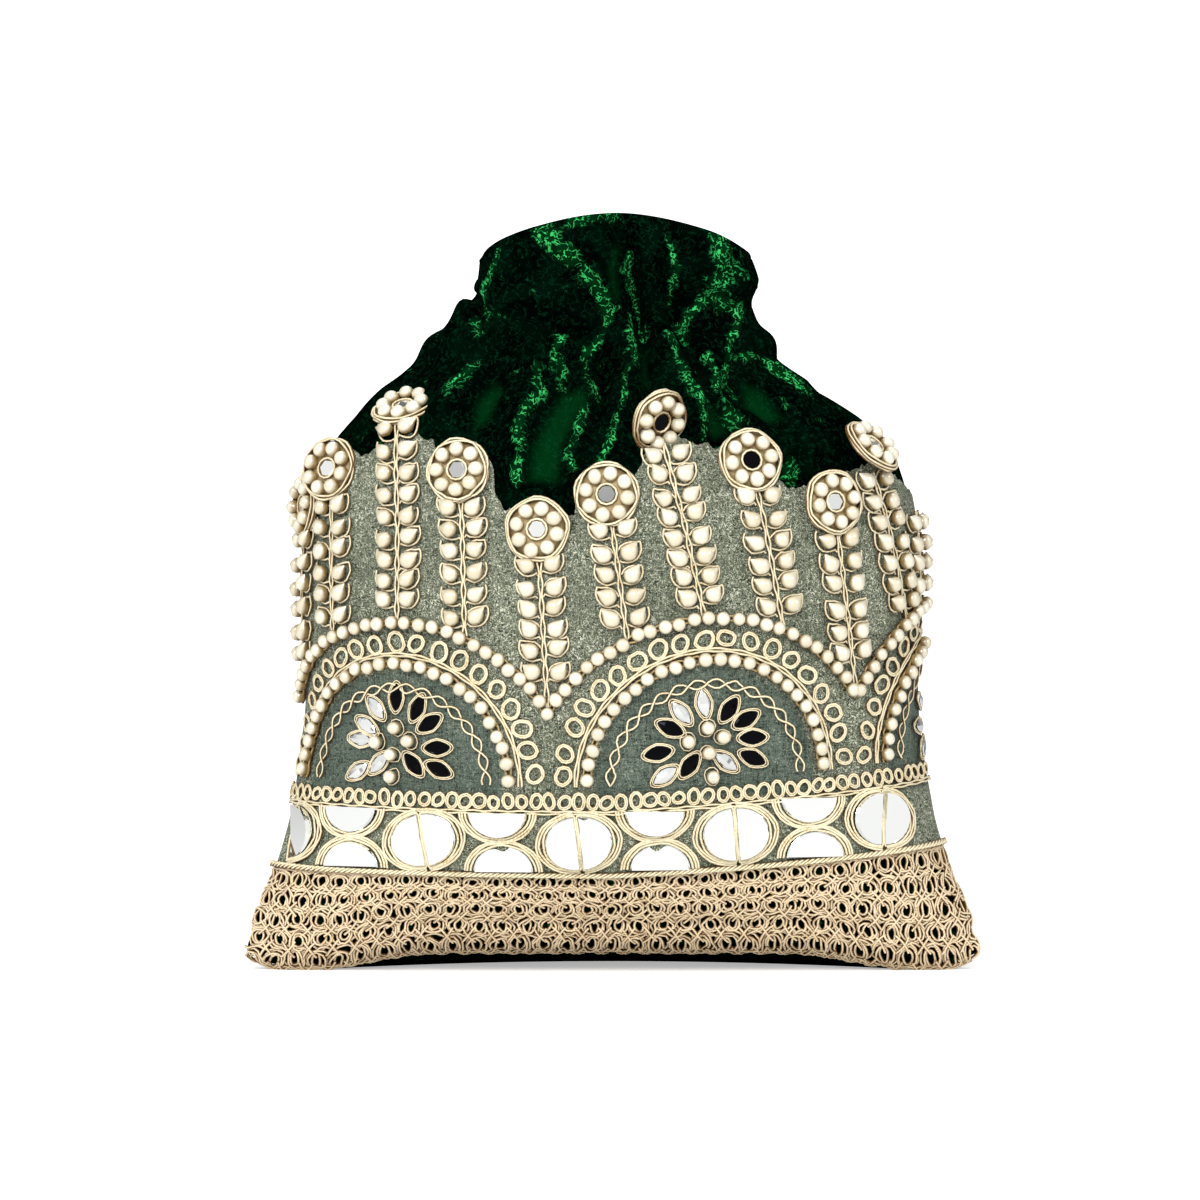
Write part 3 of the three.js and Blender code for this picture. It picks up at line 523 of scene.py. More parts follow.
def velvet_material():
    material, tree, surface = plain_material("crushed_velvet", (0.0004, 0.006, 0.003), 0.6)
    # Painted highlights: bright curls of thread, mostly along the painted glint lines, with a green haze
    # round them, and the lit patches painted a lighter green. The dull patches and the faint curls elsewhere
    # vary at random.
    place = object_place(tree)
    curls = noise(tree, place, 560.0, 0.6, 1.1)
    shown = colour_ramp(tree, noise(tree, place, 620.0, 0.0), (0.42, (0, 0, 0)), (0.50, (1, 1, 1)))
    amount = math_node(tree, "MULTIPLY_ADD", point_value(tree, "painted_glint"), 0.5, noise(tree, place, 170.0, 2.0))
    dense = colour_ramp(tree, amount, (0.66, (0, 0, 0)), (1.04, (1, 1, 1)))
    worm = math_node(tree, "MULTIPLY", curly_lines(tree, curls, 0.030, 0.055), shown)
    spark = math_node(tree, "MULTIPLY", worm, dense)
    faint = math_node(tree, "MULTIPLY", worm, 0.045)
    haze = math_node(tree, "MULTIPLY", dense, 0.6)
    patches = noise(tree, place, 70.0, 3.0, 1.2)
    dull = colour_ramp(tree, patches, (0.42, (0.0001, 0.0011, 0.0007)), (0.72, (0.0002, 0.006, 0.0026)))
    field = blend_colours(tree, point_value(tree, "lit"), dull, (0.0003, 0.026, 0.005))
    misty = blend_colours(tree, haze, field, (0.0006, 0.040, 0.008))
    flecked = blend_colours(tree, faint, misty, (0.02, 0.30, 0.10))
    colour = blend_colours(tree, spark, flecked, (0.05, 0.62, 0.15))
    finish_surface(tree, surface, colour, curls, 0.5, 0.0003)
    surface.inputs["Specular IOR Level"].default_value = 0.0
    return material


def store(mesh, key, values, kind="FLOAT"):
    """Keeps a value or a vector on each point of a mesh, for its material or its geometry tree."""
    kept = mesh.attributes.new(key, kind, "POINT")
    field = "vector" if kind == "FLOAT_VECTOR" else "value"
    kept.data.foreach_set(field, np.asarray(values, np.float32).ravel())


velvet_faces = ring_faces(len(velvet_points), velvet_columns)
velvet_bag = mesh_object("velvet_bag", velvet_points.reshape(-1, 3), velvet_faces, velvet_material())
unmarked = np.zeros((5, velvet_columns))
# the painted glint highlights and the painted lit patches, kept on the velvet's points
for key, mark in (("painted_glint", 0), ("lit", 1)):
    rows = [unmarked[:3], outer_marks[mark], inner_marks[mark], unmarked[3:]]
    store(velvet_bag.data, key, np.concatenate(rows))
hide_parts("velvet_front_panel", "velvet_back_panel")
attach(velvet_bag, "root")

# The lining is a plain pocket of green satin with a closed floor. It is sewn in under the casing and hangs
# free inside the velvet, a few millimetres away from it.
lining_thickness = 0.8
lining_top = 167.0
lining_floor_y = 7.0
lining_gap = 3.4
lining_neck_gap = 2.4
lining_columns = 120
lining_turns = np.arange(lining_columns) / lining_columns * 2 * math.pi


def lining_rows(heights, extra):
    rows = smooth_skin(lining_turns[None, :], heights[:, None])
    middle = seam_set_back * (1 - ease(heights, 0, waist_height))[:, None]
    inset = lining_gap + extra + 0.5 * np.sin(9 * lining_turns[None, :] + heights[:, None] * 0.03)
    inset = inset + lining_neck_gap * ease(heights, 112, 146)[:, None]
    from_axis = np.stack([rows[..., 0], rows[..., 1] - middle], -1)
    length = np.linalg.norm(from_axis, axis=-1, keepdims=True)
    moved = from_axis * (1 - np.minimum(inset[..., None] * 1.5 / (length + 1e-6), 0.6))
    rows[..., 0] = moved[..., 0]
    rows[..., 1] = moved[..., 1] + middle
    rows[0 if extra == 0 else -1, :, 2] = ear_height + extra
    return rows


lining_levels = np.array([ear_height, 14, 18, 28, 40, 55, 70, 90, 110, 130, 138, 146, 153, 160, lining_top])
lining_sides = lining_rows(lining_levels, 0.0), lining_rows(lining_levels[::-1], lining_thickness)
lining_layers = np.concatenate(lining_sides)
lining_points = list(lining_layers.reshape(-1, 3) * mm)
lining_faces = ring_faces(len(lining_layers), lining_columns)
last_row = (len(lining_layers) - 1) * lining_columns
under, above = len(lining_points), len(lining_points) + 1
lining_points += [np.array((0, lining_floor_y, ear_height + extra)) * mm for extra in (0.0, lining_thickness)]
for column in range(lining_columns):
    after = (column + 1) % lining_columns
    lining_faces.append((under, after, column))
    lining_faces.append((above, last_row + column, last_row + after))
satin, satin_tree, satin_surface = plain_material("green_satin", (0.01, 0.10, 0.035), 0.4)
satin_place = object_place(satin_tree)
satin_weave = add_node(satin_tree, "ShaderNodeTexWave", Vector=satin_place, Scale=700.0, Distortion=0.6)
satin_bump = add_node(satin_tree, "ShaderNodeBump", Strength=0.2, Distance=0.0001, Height=satin_weave)
feed(satin_tree, satin_bump, satin_surface.inputs["Normal"])
lining = mesh_object("lining_pocket", lining_points, lining_faces, satin)
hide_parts("lining")
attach(lining, "root")

# The tissue border is a stiff metallic weave laid over the front from seam to seam. Its upper edge is
# cut round each bead head, and it follows the velvet closely because it is sewn down all over.
border_rise = 7.0
border_margin = 2.5
tissue_gap = 0.7
tissue_thickness = 0.6
knit_top = 28.8
head_radius = 8.8
# each stem's foot and head along the cloth, and its head's height
stems = [
    (-105.5, -101.0, 134.0),
    (-85.5, -86.0, 144.7),
    (-62.5, -62.0, 162.0),
    (-42.0, -43.0, 144.7),
    (-18.3, -21.0, 128.0),
    (4.0, -1.2, 138.0),
    (25.5, 14.0, 159.0),
    (48.5, 40.0, 147.3),
    (72.0, 64.5, 135.5),
    (92.0, 77.0, 151.0),
]
wrap = math.pi * 0.56
girth_angles = np.linspace(-wrap, wrap, 449)
girth_heights = np.arange(0.0, 181.0, 1.0)
girth_points = smooth_skin(girth_angles[None, :], girth_heights[:, None])
girth_steps = np.linalg.norm(np.diff(girth_points, axis=1), axis=-1)
girths = np.concatenate([np.zeros((len(girth_heights), 1)), np.cumsum(girth_steps, 1)], 1)
girths -= girths[:, [len(girth_angles) // 2]]
cloth_top = 179.99


def seam_reach(height):
    level = int(np.clip(round(float(height)), 0, len(girth_heights) - 1))
    return float(np.interp(right_angle, girth_angles, girths[level]))


seam_reaches = [seam_reach(height) for height in girth_heights]


def cloth(s, z, lift):
    """Points over the front in millimetres: s along the cloth from its middle, z up it, lift off it."""
    s, z, lift = np.broadcast_arrays(np.asarray(s, float), np.asarray(z, float), np.asarray(lift, float))
    flat_s, flat_z = s.ravel(), np.clip(z.ravel(), 0, cloth_top)
    angle = np.empty(len(flat_s))
    level = np.floor(flat_z).astype(int)
    for row in np.unique(level):
        here = level == row
        share = flat_z[here] - row
        low = np.interp(flat_s[here], girths[row], girth_angles)
        high = np.interp(flat_s[here], girths[row + 1], girth_angles)
        angle[here] = mix(low, high, share)
    angle = angle.reshape(s.shape)
    height = flat_z.reshape(s.shape)
    here = smooth_skin(angle, height)
    along = smooth_skin(angle + 0.004, height) - smooth_skin(angle - 0.004, height)
    upward = smooth_skin(angle, height + 0.5) - smooth_skin(angle, np.maximum(height - 0.5, 0))
    outward = np.cross(along, upward)
    outward /= np.linalg.norm(outward, axis=-1, keepdims=True)
    bend = 0.5 * ease(height, waist_height, shoulder_height)
    return here + outward * (lift + bend)[..., None]


def border_lift(s):
    return border_rise * np.clip(np.asarray(s, float) / seam_reach(waist_height), 0, 1)


# the dips of the cut edge between the heads, along the cloth and up
tissue_dips = [
    (-116, 128), (-93.5, 131), (-78, 149), (-74, 151), (-66, 155), (-58, 155), (-52, 149), (-50, 148),
    (-34, 139.5), (-31, 134), (-12, 132), (-10, 133), (5.5, 141), (8, 144.5), (11, 149.5), (14, 152.5),
    (20, 156), (24, 153), (30, 152.4), (50, 142), (53, 139.6), (56.5, 140), (70, 142), (72, 143.5), (86, 147),
    (92, 143), (104, 138), (116, 134),
]
# the heads that have come loose, with no round cut behind them
loose_heads = (2, 6, 9)


def tissue_top(s):
    line = np.interp(s, *np.array(tissue_dips, float).T)
    line = line + 0.35 * np.sin(s * 1.9) + 0.25 * np.sin(s * 4.3 + 1)
    for index, (_, top, head) in enumerate(stems):
        reach = (0.0 if index in loose_heads else head_radius) ** 2 - (s - top) ** 2
        line = np.maximum(line, np.where(reach > 0, head - 1 + 0.75 * np.sqrt(np.maximum(reach, 0)), 0))
    return line


# the arches of pearls: inside them the cloth is left plain
arch_pitch = 90.0
arch_offset = 26.8
inner_arch_foot = 55.2
inner_arch_top = 89.6
inner_arch_half_width = 34.0
outer_arch_top = 101.2
outer_arch_radius = 52.5
arch_centres = [arch_offset + k * arch_pitch for k in (-1, 0, 1)]


def from_arch_middle(s):
    centres = np.array([arch_offset + k * arch_pitch for k in (-2, -1, 0, 1)])
    return np.abs(np.asarray(s, float)[..., None] - centres).min(-1)


def outer_height(s):
    round_part = np.sqrt(np.maximum(outer_arch_radius**2 - from_arch_middle(s) ** 2, 0))
    return outer_arch_top - outer_arch_radius + round_part + border_lift(s)


def plain_field(s, z):
    across = from_arch_middle(s) / (inner_arch_half_width - 2)
    top = mix(inner_arch_foot, inner_arch_top - 2, np.sqrt(np.maximum(1 - across**2, 0))) + border_lift(s)
    return np.where((across < 1) & (z < top) & (z > inner_arch_foot - 3), 1.0, 0.0)


tissue_columns = 240
tissue_rows = 84
across = np.linspace(-1, 1, tissue_columns + 1)
tissue_sides, tissue_field = [], []
for side_lift in (tissue_gap + tissue_thickness, tissue_gap):
    grid = np.empty((tissue_rows + 1, tissue_columns + 1, 3))
    top_edge = tissue_top(across * (seam_reach(shoulder_height) - border_margin))
    foot_edge = knit_top + 0.3 + border_lift(across * seam_reach(waist_height))
    for row in range(tissue_rows + 1):
        level = mix(foot_edge, top_edge, row / tissue_rows)
        reach = np.interp(level, girth_heights, seam_reaches) - border_margin
        s = across * reach
        ripple = 0.18 * np.sin(s * 0.55 + 1.3 * np.sin(level * 0.06)) + 0.12 * np.sin(s * 1.3 + level * 0.11)
        grid[row] = cloth(s, level, side_lift + np.maximum(ripple, -0.3))
        tissue_field.append(plain_field(s, level))
    tissue_sides.append(grid)
tissue_points = np.concatenate(tissue_sides).reshape(-1, 3) * mm
tissue_faces = []
row_size = tissue_columns + 1
layer_size = row_size * (tissue_rows + 1)
for row in range(tissue_rows):
    for column in range(tissue_columns):
        a = row * row_size + column
        tissue_faces.append((a, a + 1, a + 1 + row_size, a + row_size))
        b = a + layer_size
        tissue_faces.append((b, b + row_size, b + 1 + row_size, b + 1))
for column in range(tissue_columns):
    tissue_faces.append((column, column + layer_size, column + 1 + layer_size, column + 1))
    a = tissue_rows * row_size + column
    tissue_faces.append((a, a + 1, a + 1 + layer_size, a + layer_size))
for row in range(tissue_rows):
    a = row * row_size
    tissue_faces.append((a, a + row_size, a + row_size + layer_size, a + layer_size))
    a += tissue_columns
    tissue_faces.append((a, a + layer_size, a + layer_size + row_size, a + row_size))


def tissue_material():
    material, tree, surface = plain_material("metallic_tissue", (0.14, 0.17, 0.13), 0.5, 0.1)
    place = object_place(tree)
    field = point_value(tree, "field")
    warp, weft = (
        noise(tree, add_node(tree, "ShaderNodeMapping", Vector=place, Scale=drawn), 2400.0, 2.0, 0.5)
        for drawn in ((1.0, 1.0, 0.12), (0.12, 0.12, 1.0))
    )
    threads = math_node(tree, "ADD", warp, weft)
    cloudy = noise(tree, place, 48.0, 2.0)
    curls = noise(tree, place, 1250.0, 0.4, 1.0)
    worked = colour_ramp(tree, threads, (0.80, (0.024, 0.031, 0.018)), (1.20, (0.125, 0.145, 0.095)))
    plain = colour_ramp(tree, threads, (0.80, (0.016, 0.027, 0.021)), (1.20, (0.085, 0.118, 0.092)))
    shade = colour_ramp(tree, cloudy, (0.36, (0.84, 0.86, 0.84)), (0.64, (1.10, 1.10, 1.08)))
    toned = blend_colours(tree, 1.0, blend_colours(tree, field, worked, plain), shade, "MULTIPLY")
    sewn = colour_ramp(tree, cloudy, (0.40, (0.62, 0.62, 0.62)), (0.56, (0.95, 0.95, 0.95)))
    bare = math_node(tree, "MULTIPLY_ADD", field, -0.72, 1.0)
    sewn_on = math_node(tree, "MULTIPLY", sewn, bare)
    spark = math_node(tree, "MULTIPLY", curly_lines(tree, curls, 0.022, 0.042), sewn_on)
    colour = blend_colours(tree, spark, toned, (0.74, 0.76, 0.60))
    finish_surface(tree, surface, colour, math_node(tree, "ADD", threads, curls), 0.7, 0.00025)
    surface.inputs["Specular IOR Level"].default_value = 0.2
    return material


tissue = mesh_object("tissue_panel", tissue_points, tissue_faces, tissue_material())
store(tissue.data, "field", np.concatenate(tissue_field))
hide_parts("tissue_border")
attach(tissue, "root")

# The knitted band is netting of gold cord, sewn over the velvet along the bottom. Each stitch is a doubled
# ring round a narrow loop with a dark eye, and crossed strands tie four stitches together.


def gather_paths(paths):
    """One list of points, and of the edges that join them in turn, from several (points, closed) paths."""
    points, edges = [], []
    for path, closed in paths:
        start, count = len(points), len(path)
        points.extend(path)
        edges.extend((start + k, start + (k + 1) % count) for k in range(count if closed else count - 1))
    return points, edges


def new_tree(name, *inputs):
    """A geometry tree with its named inputs, and the node that gives them out."""
    tree = bpy.data.node_groups.new(name, "GeometryNodeTree")
    for label, kind in inputs:
        tree.interface.new_socket(label, in_out="INPUT", socket_type="NodeSocket" + kind)
    tree.interface.new_socket("Result", in_out="OUTPUT", socket_type="NodeSocketGeometry")
    return tree, tree.nodes.new("NodeGroupInput")


def end_tree(tree, shape, material):
    """The last steps of a geometry tree: what it made is made real and gets its material."""
    real = add_node(tree, "GeometryNodeRealizeInstances", Geometry=shape)
    painted = add_node(tree, "GeometryNodeSetMaterial", Geometry=real, Material=material)
    feed(tree, painted, tree.nodes.new("NodeGroupOutput").inputs[0])


def cord_tree():
    """Turns lines into round cord. Its inputs are the cord's radius, its number of sides and its material."""
    sockets = ("Lines", "Geometry"), ("Radius", "Float"), ("Sides", "Int"), ("Material", "Material")
    tree, entry = new_tree("round_cord", *sockets)
    line = add_node(tree, "GeometryNodeMeshToCurve", Mesh=(entry, 0))
    ring = add_node(tree, "GeometryNodeCurvePrimitiveCircle", Radius=(entry, 1), Resolution=(entry, 2))
    tube = add_node(tree, "GeometryNodeCurveToMesh", Fill_Caps=True)
    kinds = (line, "along", "Length", "Curve"), (ring, "around", "Factor", "Profile Curve")
    for shape, key, measure, socket in kinds:
        place = tree.nodes.new("GeometryNodeSplineParameter")
        kept = add_node(tree, "GeometryNodeStoreNamedAttribute", Geometry=shape, Name=key)
        tree.links.new(place.outputs[measure], kept.inputs["Value"])
        feed(tree, kept, tube.inputs[socket])
    end_tree(tree, add_node(tree, "GeometryNodeSetShadeSmooth", Geometry=tube), (entry, 3))
    return tree


skin_angles = np.linspace(-wrap, wrap, 141)[None, :]
skin_heights = np.arange(0.0, 181.0, 3.0)[:, None]
skin_points = smooth_skin(skin_angles, skin_heights)
skin_outward = np.cross(np.gradient(skin_points, axis=1), np.gradient(skin_points, axis=0)).reshape(-1, 3)
skin_outward /= np.linalg.norm(skin_outward, axis=1, keepdims=True)
skin_finder = kdtree.KDTree(len(skin_outward))
for index, point in enumerate(skin_points.reshape(-1, 3) * mm):
    skin_finder.insert(point, index)
skin_finder.balance()


def off_cloth(points):
    """The direction off the cloth at each point, which tells a material where thread turns down to it and
    where to paint its shade.
    """
    return [skin_outward[skin_finder.find(point)[1]] for point in points]


def painted_edge_shade(tree, dark, low, high):
    """Painted shade: white where a surface faces away from the cloth, and dark where it turns down to it."""
    inputs = {"_0": (add_node(tree, "ShaderNodeNewGeometry"), 1), "_1": point_value(tree, "outward", 1)}
    facing = add_node(tree, "ShaderNodeVectorMath", set_operation="DOT_PRODUCT", **inputs)
    return colour_ramp(tree, (facing, 1), (low, dark), (high, (1, 1, 1)))


def grown(name, points, edges, tree, attributes=(), **inputs):
    """A plain mesh that a geometry tree makes from points and edges, which may carry attributes."""
    seed_mesh = bpy.data.meshes.new(name + "_lines")
    seed_mesh.from_pydata([tuple(p) for p in points], edges, [])
    for key, kind, values in (("outward", "FLOAT_VECTOR", off_cloth(points)), *attributes):
        store(seed_mesh, key, values, kind)
    seed = bpy.data.objects.new(name + "_lines", seed_mesh)
    bpy.context.scene.collection.objects.link(seed)
    modifier = seed.modifiers.new("grow", "NODES")
    modifier.node_group = tree
    for item in tree.interface.items_tree:
        if item.item_type == "SOCKET" and item.in_out == "INPUT" and item.name in inputs:
            modifier[item.identifier] = inputs[item.name]
    bpy.context.view_layer.update()
    depsgraph = bpy.context.evaluated_depsgraph_get()
    mesh = bpy.data.meshes.new_from_object(seed.evaluated_get(depsgraph))
    mesh.name = name
    bpy.data.objects.remove(seed)
    bpy.data.meshes.remove(seed_mesh)
    thing = bpy.data.objects.new(name, mesh)
    bpy.context.scene.collection.objects.link(thing)
    return thing


def cord_material(name, light, dark, twist, metallic):
    """Twisted cord, with painted shade in the grooves between its strands, which run round it on a slant, and
    where it turns down to the cloth.
    """
    material, tree, surface = plain_material(name, light, 0.42, metallic)
    wound = math_node(tree, "MULTIPLY_ADD", point_value(tree, "along"), twist, point_value(tree, "around"))
    strand = math_node(tree, "SINE", math_node(tree, "MULTIPLY", wound, 4 * math.pi))
    grime = noise(tree, object_place(tree), 300.0, 2.0)
    # painted shade: dark in the grooves, more in some places than others at random, and darker where the cord
    # turns down to the cloth
    depth = math_node(tree, "MULTIPLY_ADD", strand, 0.17, grime)
    base = colour_ramp(tree, depth, (0.08, dark), (0.42, light))
    edge = painted_edge_shade(tree, (0.16, 0.09, 0.025), 0.50, 0.93)
    colour = blend_colours(tree, 1.0, base, edge, "MULTIPLY")
    finish_surface(tree, surface, colour, strand, 0.35, 0.0001)
    return material


round_cord = cord_tree()
knit_cord = cord_material("knit_cord", (0.98, 0.80, 0.53), (0.55, 0.34, 0.14), 700.0, 0.05)
knit_bottom = 1.0
knit_pitch = 6.6
knit_rows = 5
knit_radius = 0.46
knit_reach = seam_reach(20)
knit_half = int(knit_reach // knit_pitch) + 1
# half width of each ring of a stitch in millimetres, half its height in rows, and its height off the cloth
knit_rings = ((3.35, 0.52, 0.75), (2.5, 0.41, 1.0), (1.3, 0.33, 0.8))
knit_paths = []
chance = np.random.default_rng(21)


def full_turn(count):
    """Angles spread evenly round a circle."""
    return np.linspace(0, 2 * math.pi, count + 1)[:-1]


def lay(paths, points, closed=False):
    """Adds a line of cord, its points in millimetres, to the paths of a piece."""
    paths.append((list(points * mm), closed))


def knit_place(s, row, lift):
    """A point of the band: rows spread evenly from its lower edge to the twisted cord above it."""
    level = mix(knit_bottom + 0.3 * np.exp(-((s / 62) ** 4)), knit_top + border_lift(s), row / knit_rows)
    reach = np.interp(level, girth_heights, seam_reaches) - border_margin + 1.5
    return cloth(np.clip(s, -reach, reach), level, lift)


def knit_ring(s, row, wide, tall, lift):
    """A wobbly ring of cord; its width is in millimetres and its height in rows."""
    turn = full_turn(12) + chance.uniform(0, 6)
    wobble = 1 + 0.12 * np.sin(2 * turn + chance.uniform(0, 6)) + chance.normal(0, 0.05, 12)
    up = np.clip(row + tall * wobble * np.sin(turn), 0, knit_rows)
    height = lift + 0.35 * np.sin(2 * turn + chance.uniform(0, 6))
    lay(knit_paths, knit_place(s + wide * wobble * np.cos(turn), up, height), True)


def knit_tie(s, row, way):
    """A strand across the place where four stitches meet, bowed a little."""
    t = np.linspace(-1, 1, 6)
    bow = chance.normal(0, 0.35) * (1 - t * t)
    up = np.clip(row + 0.34 * t, 0, knit_rows)
    lay(knit_paths, knit_place(s + way * 1.9 * t + bow, up, 1.1 + 0.3 * np.cos(t * 2)))


for row in range(knit_rows):
    for k in range(-knit_half, knit_half + 1):
        s = (k + 0.22 * (row % 2)) * knit_pitch + chance.normal(0, 0.35)
        if abs(s) > knit_reach + 2:
            continue
        middle = row + 0.5 + chance.normal(0, 0.05)
        for ring, (wide, tall, lift) in enumerate(knit_rings):
            shift = chance.normal(0, 0.2) if ring else 0.0
            knit_ring(s + shift, middle, wide, tall, lift)
        for way in (-1, 1):
            knit_tie(s + knit_pitch / 2, row + chance.normal(0, 0.04), way)
for row in range(knit_rows + 1):
    for strand in range(1 if 0 < row < knit_rows else 3):
        s = np.arange(-knit_reach, knit_reach, 1.3)
        wave = 0.10 * np.sin(s * 2 * math.pi / knit_pitch + strand * 2.1) + chance.normal(0, 0.03, len(s))
        up = np.clip(row + wave + (0.07 if row == 0 else 0.0), 0, knit_rows)
        lay(knit_paths, knit_place(s, up, 0.9 + 0.3 * np.sin(s * 1.1 + strand * 2.1)))
knit_inputs = {"Radius": knit_radius * mm, "Sides": 5, "Material": knit_cord}
knitted_band = grown("knitted_cord_band", *gather_paths(knit_paths), round_cord, **knit_inputs)
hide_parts("knitted_band")
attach(knitted_band, "root")

# Pearls, leaf beads and mirrors are sewn on one by one. Each is an instance of one bead on a point of the
# cloth, turned to lie on it and sized a little differently from the next.


def cloth_axes(s, z):
    """Unit vectors along the cloth, up it and off it at one point."""
    here = cloth(s, z, 0.0)
    along = cloth(s + 0.5, z, 0.0) - cloth(s - 0.5, z, 0.0)
    outward = cloth(s, z, 1.0) - here
    along /= np.linalg.norm(along)
    outward /= np.linalg.norm(outward)
    upward = np.cross(outward, along)
    return along, upward / np.linalg.norm(upward), outward


def turn_of(along, upward, outward, spin=0.0):
    first = along * math.cos(spin) + upward * math.sin(spin)
    second = upward * math.cos(spin) - along * math.sin(spin)
    return tuple(Matrix((first, second, outward)).transposed().to_euler())


def bead_tree():
    """Puts a bead on every point. Its inputs are the bead and its material."""
    tree, entry = new_tree("sewn_beads", ("Points", "Geometry"), ("Bead", "Object"), ("Material", "Material"))
    bead = add_node(tree, "GeometryNodeObjectInfo", Object=(entry, 1))
    sewn = add_node(tree, "GeometryNodeInstanceOnPoints", Points=(entry, 0))
    tree.links.new(bead.outputs["Geometry"], sewn.inputs["Instance"])
    for key, socket in (("turn", "Rotation"), ("size", "Scale")):
        kept = add_node(tree, "GeometryNodeInputNamedAttribute", set_data_type="FLOAT_VECTOR", Name=key)
        feed(tree, kept, sewn.inputs[socket])
    end_tree(tree, sewn, (entry, 2))
    return tree


sewn_beads = bead_tree()


def sew(name, bead, places, material, nodes=()):
    """One piece made of beads. Each place is a point in millimetres, a turn, a size and a shade."""
    points = [np.asarray(place[0]) * mm for place in places]
    kinds = ("turn", "FLOAT_VECTOR"), ("size", "FLOAT_VECTOR"), ("shade", "FLOAT")
    attributes = [(key, kind, [place[k + 1] for place in places]) for k, (key, kind) in enumerate(kinds)]
    thing = grown(name, points, [], sewn_beads, attributes, Bead=bead, Material=material)
    if nodes:
        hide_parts(*nodes)
    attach(thing, "root")


def numbered(name, count):
    return ["%s_%d" % (name, k + 1) for k in range(count)]


def lathe_mesh(name, profile, sides, groove=0.0, smooth=True):
    """A closed round shape on the x axis from (x, radius) pairs, its first and last at radius 0."""
    points = [(profile[0][0], 0.0, 0.0)]
    for x, radius in profile[1:-1]:
        for side in range(sides):
            turn = side / sides * 2 * math.pi
            wide = radius * (1 + groove * math.cos(3 * turn + x * 2.0))
            points.append((x, wide * math.cos(turn), wide * math.sin(turn)))
    points.append((profile[-1][0], 0.0, 0.0))
    faces = []
    last = len(points) - 1
    rings = len(profile) - 2
    for side in range(sides):
        after = (side + 1) % sides
        faces.append((0, 1 + after, 1 + side))
        for ring in range(rings - 1):
            a, b = 1 + ring * sides, 1 + (ring + 1) * sides
            faces.append((a + side, a + after, b + after, b + side))
        faces.append((last, 1 + (rings - 1) * sides + side, 1 + (rings - 1) * sides + after))
    return mesh_object(name, np.array(points) * mm, faces, smooth=smooth)


pearl_radius = 2.0
pearl_pitch = 4.15
pearl_arc = [k / 9 * math.pi for k in range(10)]
pearl_profile = [(-pearl_radius * math.cos(turn), pearl_radius * math.sin(turn)) for turn in pearl_arc]
pearl_bead = lathe_mesh("pearl_bead", pearl_profile, 14)
ivory, ivory_tree, ivory_surface = plain_material("ivory_pearl", (0.86, 0.77, 0.60), 0.4)
ivory_shade = point_value(ivory_tree, "shade")
ivory_tone = colour_ramp(ivory_tree, ivory_shade, (0.0, (0.76, 0.67, 0.46)), (1.0, (0.93, 0.88, 0.70)))
# painted shade where each pearl or leaf bead turns down to the cloth
ivory_edge_shade = painted_edge_shade(ivory_tree, (0.34, 0.24, 0.10), 0.10, 0.66)
ivory_colour = blend_colours(ivory_tree, 1.0, ivory_tone, ivory_edge_shade, "MULTIPLY")
feed(ivory_tree, ivory_colour, ivory_surface.inputs["Base Color"])
ivory_surface.inputs["Specular IOR Level"].default_value = 0.5
ivory_surface.inputs["Coat Weight"].default_value = 1.0
ivory_surface.inputs["Coat Roughness"].default_value = 0.24
ivory_surface.inputs["Coat IOR"].default_value = 1.95

# The outer pearls are one string that runs from arch to arch; the inner ones stand in three arches. Each
# pearl is sewn down by itself, so they stand a little out of line.
seat = 1.9
pearl_end_gap = 4.5
cloth_end = seam_reach(waist_height) - pearl_end_gap


def arch_line(centre, half_width, top, steps=200, foot=inner_arch_foot):
    turn = np.linspace(math.pi, 0, steps)
    s = centre + half_width * np.cos(turn)
    z = mix(foot, top, np.sin(turn)) + border_lift(s)
    keep = np.abs(s) < cloth_end
    return s[keep], z[keep]


def spaced(s, z, pitch):
    """Points along an (s, z) line, evenly spread at about the pitch."""
    lengths = np.concatenate([[0], np.cumsum(np.hypot(np.diff(s), np.diff(z)))])
    count = max(int(lengths[-1] / pitch), 1)
    at = (np.arange(count) + 0.5) * lengths[-1] / count
    return np.interp(at, lengths, s), np.interp(at, lengths, z)


def string_of_pearls(name, s, z, node):
    s, z = spaced(s, z, pearl_pitch)
    places = []
    for k in range(len(s)):
        here_s, here_z = s[k] + chance.normal(0, 0.15), z[k] + chance.normal(0, 0.28)
        size = chance.normal(1.0, 0.035, 3) * (1.0, 1.02, 0.97)
        point = cloth(here_s, here_z, seat + pearl_radius * 0.85)
        turn = turn_of(*cloth_axes(here_s, here_z), chance.uniform(0, 3))
        places.append((point, turn, size, chance.uniform(0.2, 1)))
    sew(name, pearl_bead, places, ivory, [node])


outer_s = np.linspace(-cloth_end, cloth_end, 500)
string_of_pearls("outer_pearls", outer_s, outer_height(outer_s), "outer_pearl_string")
for k, centre in enumerate(arch_centres):
    arch = arch_line(centre, inner_arch_half_width, inner_arch_top)
    string_of_pearls("inner_pearls_%d" % (k + 1), *arch, "inner_pearl_string_%d" % (k + 1))

# Gold cord outlines everything: a doubled cord outside the inner pearls, rows of rings between the
# pearls and chains of small loops inside them.
gold_cord = cord_material("gold_cord", (1.0, 0.90, 0.62), (0.70, 0.50, 0.20), 420.0, 0.05)
dark_thread = cord_material("dark_gold_thread", (0.60, 0.44, 0.20), (0.25, 0.15, 0.05), 420.0, 0.1)
cord_radius = 0.48
lace_lift = seat + 0.2


